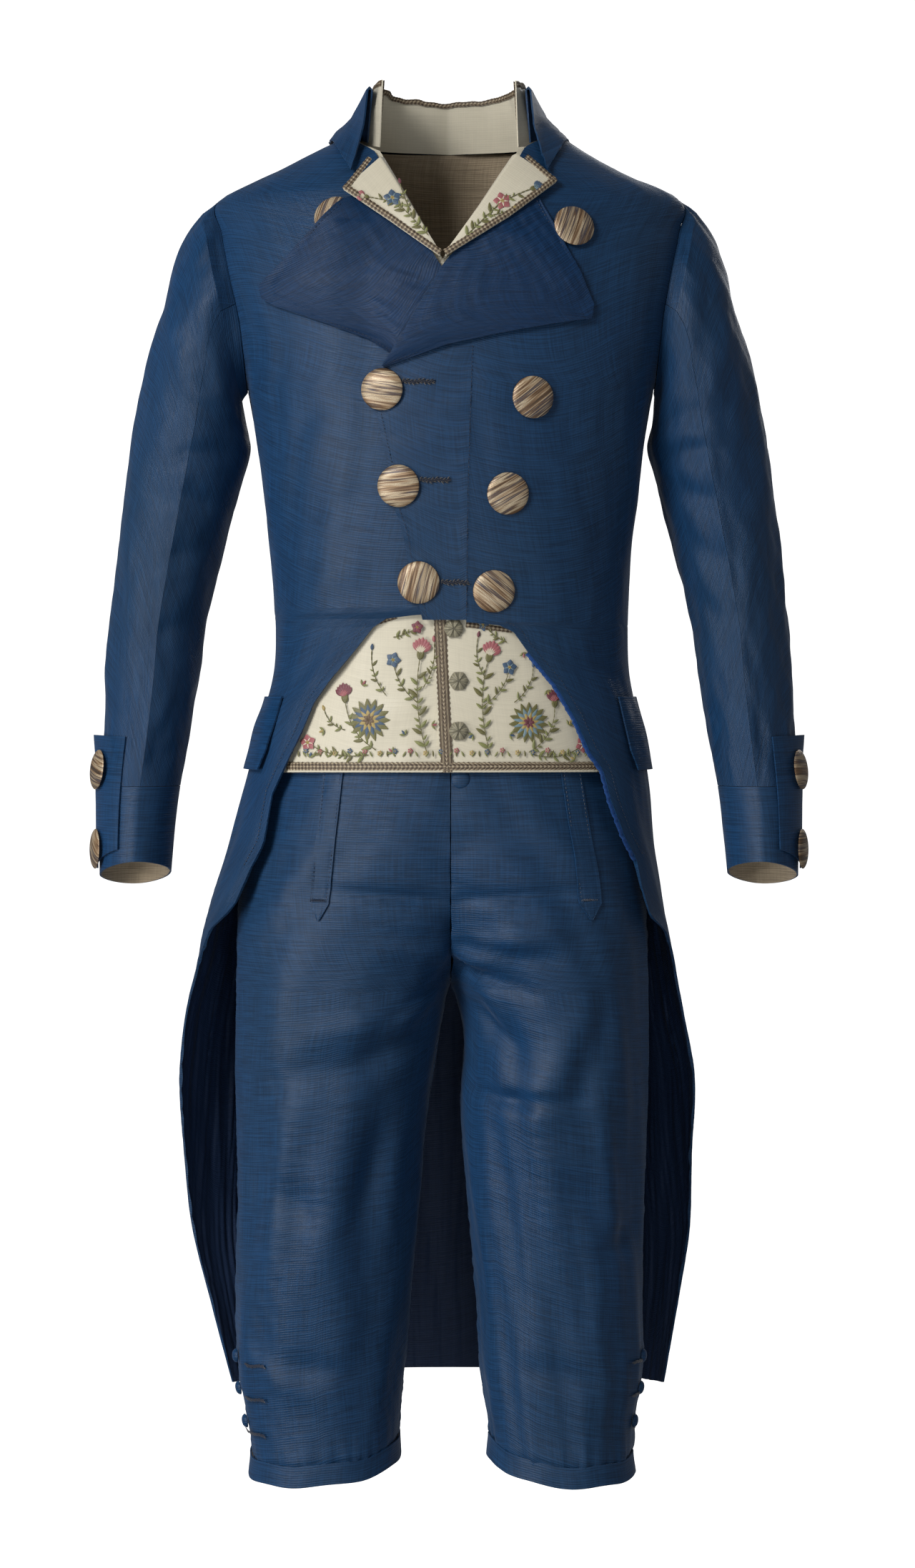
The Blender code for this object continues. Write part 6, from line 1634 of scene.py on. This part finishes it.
# %% Braid along the waistcoat's edges
def ribbon(name, points, width, surface, lift, look=None):
    """Lay a narrow raised braid along a line of x and z, with a slightly wavy edge."""
    points = walk(points, max(24, int(800 * np.linalg.norm(np.diff(np.array(points), axis=0), axis=1).sum())))
    ahead = unit(np.gradient(points, axis=0))
    aside = np.stack([-ahead[:, 1], ahead[:, 0]], axis=-1)
    run = np.concatenate([[0.0], np.cumsum(np.linalg.norm(np.diff(points, axis=0), axis=1))])
    across = np.linspace(-1.0, 1.0, 9)
    wave = 1.0 + 0.10 * np.sin(run * 2 * math.pi / 0.0042)
    place = points[:, None] + aside[:, None] * (across[None, :] * wave[:, None] * width / 2)[..., None]
    braid_twists = (0.8 + 0.2 * np.cos(run * 2 * math.pi / 0.0021))[:, None]
    height = lift + 0.0009 * (1.0 - across**4)[None, :] * braid_twists
    outer = surface(place[..., 0], place[..., 1], height)
    inner = surface(place[..., 0], place[..., 1], np.full_like(height, lift - 0.0002))
    made = shape_from_grids(name, (outer, inner), (look or braid,) * 2)
    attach(made, "root")
    return made


front_braid = [(x + 0.0058, z) for z, x in LEFT_VEST_FRONT if z < -0.11]
ribbon("front_braid", front_braid, 0.0100, on_vest, 0.0008)
hem_run = np.linspace(-0.136, 0.124, 30)
ribbon("hem_braid", [(x, WAISTCOAT_HEM + 0.0046) for x in hem_run], 0.0070, on_vest, 0.0008)
ribbon("hem_piping", [(x, WAISTCOAT_HEM + 0.0008) for x in hem_run], 0.0018, on_vest, 0.0006,
       cream_satin)
for side, word in ((-1, "right"), (1, "left")):
    edge = LEFT_VEST_EDGE if side > 0 else RIGHT_VEST_EDGE
    inset = [(x - 0.0026 * side * 0.3, z + 0.0026) for x, z in edge]
    ribbon(f"lapel_braid_{word}", inset, 0.0048, on_vest_lapel(side), 0.0006)
    roll = LEFT_VEST_ROLL if side > 0 else RIGHT_VEST_ROLL
    outer_end_line = [(edge[0][0] - 0.0020 * side, edge[0][1] + 0.0010),
                      (roll[0][0] + 0.010 * side, roll[0][1] - 0.004)]
    ribbon(f"lapel_end_{word}", outer_end_line, 0.0040, on_vest_lapel(side), 0.0006)

ribbon("welt_right", [(-0.066, -0.3900), (-0.044, -0.3835)], 0.0040, on_vest, 0.0008)
ribbon("welt_left", [(0.014, -0.3900), (0.052, -0.3945)], 0.0040, on_vest, 0.0008)
VEST_COLLAR_HALF = 0.1600
VEST_COLLAR_TALL = 0.0520


def on_vest_collar(x, z, out):
    """Give a place on the waistcoat's collar by length from the back's middle and height."""
    share = np.clip(x / VEST_COLLAR_HALF, -1.0, 1.0)
    at = [smooth(VEST_COLLAR_PLACES, np.abs(share), k) for k in range(1, 7)]
    way = np.sign(share)
    foot = np.stack([at[0] * way, at[1], at[2]], axis=-1)
    top = np.stack([at[3] * way, at[4], at[5]], axis=-1)
    wave = VEST_COLLAR_WAVE * np.sin(share * VEST_COLLAR_WAVES) + 0.0006 * np.sin(share * 43.0)
    high = (z / VEST_COLLAR_TALL)[..., None]
    point = foot * (1.0 - high) + top * high
    point[..., 0] += high[..., 0] * wave
    point[..., 2] += high[..., 0] ** 3 * 0.6 * wave
    return point + unit(point * np.array([1.0, 1.0, 0.0])) * np.asarray(out)[..., None]


for name, lift in (("collar_braid_outside", 0.0014), ("collar_braid_inside", -0.0012)):
    collar_path = [(x, VEST_COLLAR_TALL - 0.0026) for x in np.linspace(-0.158, 0.158, 40)]
    ribbon(name, collar_path, 0.0046, on_vest_collar, lift)
for side, word in ((-1, "right"), (1, "left")):
    end_line = [(side * 0.1555, 0.0040), (side * 0.1555, VEST_COLLAR_TALL - 0.004)]
    ribbon(f"collar_end_{word}", end_line, 0.0044, on_vest_collar, -0.0012)
left_cutaway = [(x, z) for z, x in LEFT_EDGE if -0.585 < z < -0.396]
ribbon("lining_edge", [(x - 0.0004, z - 0.0004) for x, z in left_cutaway], 0.0042,
       lambda x, z, out: coat(turn_at(x, z), z, out + 0.0006 * np.sin(z * 900.0) * np.sin(z * 210.0)),
       -0.0014, edge_lining)

# %% Seam stitches and buttonholes on the coat and the breeches
seams = Needle()
LONG_SEAM = ((0.0190, -0.1670), (0.0155, -0.2760), (0.0140, -0.3840))
seams.line(LONG_SEAM, 0.0031, 0.0020, 0.0006, DARK_BLUE)
for x0, x1, z in ((-0.0370, -0.0110, -0.1960), (-0.0230, 0.0010, -0.2745), (-0.0060, 0.0165, -0.3560)):
    bead = [(x0 + (x1 - x0) * k / 8, z + 0.0006 * math.sin(k * 1.7)) for k in range(9)]
    for rise, z_off in ((0.0012, 0.0007), (0.0012, -0.0007)):
        seams.line([(x, zz + z_off) for x, zz in bead], 0.0016, 0.0030, 0.0010, GREY_BROWN, (0.7, -0.7), rise)
    seams.line(bead, 0.0012, 0.0030, 0.0017, DARK_BLUE, (0.3, -0.3), 0.0016)
edge_run = [(x, z) for z, x in RIGHT_EDGE if -0.600 < z < -0.386]
seams.line([(x - 0.0042, z + 0.0030) for x, z in edge_run], 0.0030, 0.0018, 0.0005, DARK_BLUE)
edge_run = [(x, z) for z, x in LEFT_EDGE if -0.600 < z < -0.3895]
seams.line([(x + 0.0046, z + 0.0030) for x, z in edge_run], 0.0030, 0.0018, 0.0005, DARK_BLUE)
seams.line([(x + 0.0040, z) for z, x in STRIP_EDGE if z < -0.19], 0.0030, 0.0018, 0.0005, DARK_BLUE)
seams.sew("coat_stitches", on_coat, 0.0009)
for side, word in ((-1, "right"), (1, "left")):
    edging = Needle()
    shape = LEFT_LAPEL_EDGE if side > 0 else RIGHT_LAPEL_EDGE
    middle = np.mean(np.array(shape), axis=0)
    inset = [(x + (middle[0] - x) * 0.045, z + (middle[1] - z) * 0.070) for x, z in shape]
    edging.line(inset, 0.0032, 0.0018, 0.0005, DARK_BLUE)
    edging.sew(f"lapel_stitches_{word}", lambda x, z, out: coat(
        turn_at(x, z), z, out + LAPEL_REST + LAPEL_WALL + (bump(x, z) - sink(x, z)) * (side < 0)),
        0.0009)
for side, word in ((-1, "right"), (1, "left")):
    work = Needle()
    shape = LEFT_FALL if side > 0 else RIGHT_FALL
    for way in (-1, 1):
        placket_line = [(x + way * (half - 0.0016), z) for z, x, half in shape[:-1]]
        work.line(placket_line, 0.0034, 0.0020, 0.0005, DARK_BLUE)
    bar_x, bar_z = shape[3][1], shape[3][0] + 0.002
    work.line([(bar_x - 0.0062, bar_z), (bar_x + 0.0062, bar_z)],
              0.0010, 0.0022, 0.0009, DARK_BLUE, 1.57, 0.0008)
    for z in KNEE_HOLE_HEIGHTS:
        hole = [(side * (0.166 - 0.017 * k / 6), z - 0.001 * math.sin(k)) for k in range(7)]
        work.line(hole, 0.0014, 0.0030, 0.0018, DARK_BLUE, (0.4, -0.4), 0.0002)
    work.sew(f"fall_stitches_{word}", lambda x, z, out: leg(side, leg_turn_at(side, x, z), z, out),
             0.0026)

# %% [markdown]
# The picture was taken from about three and a half metres away, a little below the shoulders,
# against a plain white ground. Soft light comes from the upper left, so the right side is darker.

# %% Ground, light and camera
def plain_material(name, colour, roughness=0.9):
    """Make a flat material for the ground."""
    made = bpy.data.materials.new(name)
    made.use_nodes = True
    shader = made.node_tree.nodes["Principled BSDF"]
    shader.inputs["Base Color"].default_value = (*colour, 1.0)
    shader.inputs["Roughness"].default_value = roughness
    shader.inputs["Emission Color"].default_value = (1.0, 1.0, 1.0, 1.0)
    shader.inputs["Emission Strength"].default_value = 1.0
    return made


def backdrop():
    """Make a white sweep: a floor that curves up into a wall behind the suit."""
    turn = np.linspace(0.0, math.pi / 2, 24)
    backdrop_corner = [(10.0 + 4.0 * math.sin(t), 2.38 - 4.0 * math.cos(t)) for t in turn]
    profile = [(-14.0, -1.62), *backdrop_corner, (14.0, 16.0)]
    points = [(x, y, z) for y, z in profile for x in (-14.0, 14.0)]
    faces = [(2 * k, 2 * k + 1, 2 * k + 3, 2 * k + 2) for k in range(len(profile) - 1)]
    mesh = bpy.data.meshes.new("backdrop")
    mesh.from_pydata(points, [], faces)
    mesh.shade_smooth()
    mesh.materials.append(plain_material("white_ground", (0.93, 0.93, 0.93)))
    made = bpy.data.objects.new("backdrop", mesh)
    bpy.context.scene.collection.objects.link(made)
    return made


def area_light(name, place, aim, size, watts, colour=(1.0, 1.0, 1.0)):
    """Hang a square soft light at a place and turn it to what it lights."""
    data = bpy.data.lights.new(name, "AREA")
    data.shape = "SQUARE"
    data.size = size
    data.energy = watts
    data.color = colour
    made = bpy.data.objects.new(name, data)
    made.location = place
    made.rotation_euler = (Vector(aim) - Vector(place)).to_track_quat("-Z", "Y").to_euler()
    bpy.context.scene.collection.objects.link(made)
    return made


ground = backdrop()
ground.visible_diffuse = False
ground.visible_glossy = False
lights = [area_light("key", (-1.8, -2.7, 1.2), (0.0, 0.0, -0.55), 1.1, 86.0, (1.0, 0.985, 0.96)),
          area_light("fill", (2.4, -2.6, 0.1), (0.0, 0.0, -0.6), 1.6, 3.0, (0.93, 0.97, 1.0)),
          area_light("left_side", (-2.2, -1.9, -1.0), (0.0, 0.0, -0.95), 1.1, 38.0, (1.0, 0.98, 0.95)),
          area_light("low", (0.15, -2.7, -1.30), (0.0, 0.1, -0.85), 0.8, 11.0, (0.92, 0.96, 1.0)),
          area_light("back", (1.2, 3.0, 0.9), (0.0, 0.0, -0.5), 1.4, 14.0)]

world = bpy.data.worlds.new("white_world")
world.use_nodes = True
world.node_tree.nodes["Background"].inputs["Color"].default_value = (1.0, 1.0, 1.0, 1.0)
world.node_tree.nodes["Background"].inputs["Strength"].default_value = 0.17
bpy.context.scene.world = world
bpy.context.scene.view_settings.view_transform = "Standard"

CAMERA_PLACE = (0.007, -3.400, -0.450)
CAMERA_AIM = (0.007, 0.0, -0.5200)
PHOTO_HALF_HEIGHT = 0.6505
camera_data = bpy.data.cameras.new("camera")
camera_data.sensor_fit = "AUTO"
camera_data.angle = 2.0 * math.atan(PHOTO_HALF_HEIGHT / 3.400)
camera = bpy.data.objects.new("camera", camera_data)
camera.location = CAMERA_PLACE
camera.rotation_euler = (Vector(CAMERA_AIM) - Vector(CAMERA_PLACE)).to_track_quat("-Z", "Y").to_euler()
bpy.context.scene.collection.objects.link(camera)
bpy.context.scene.camera = camera
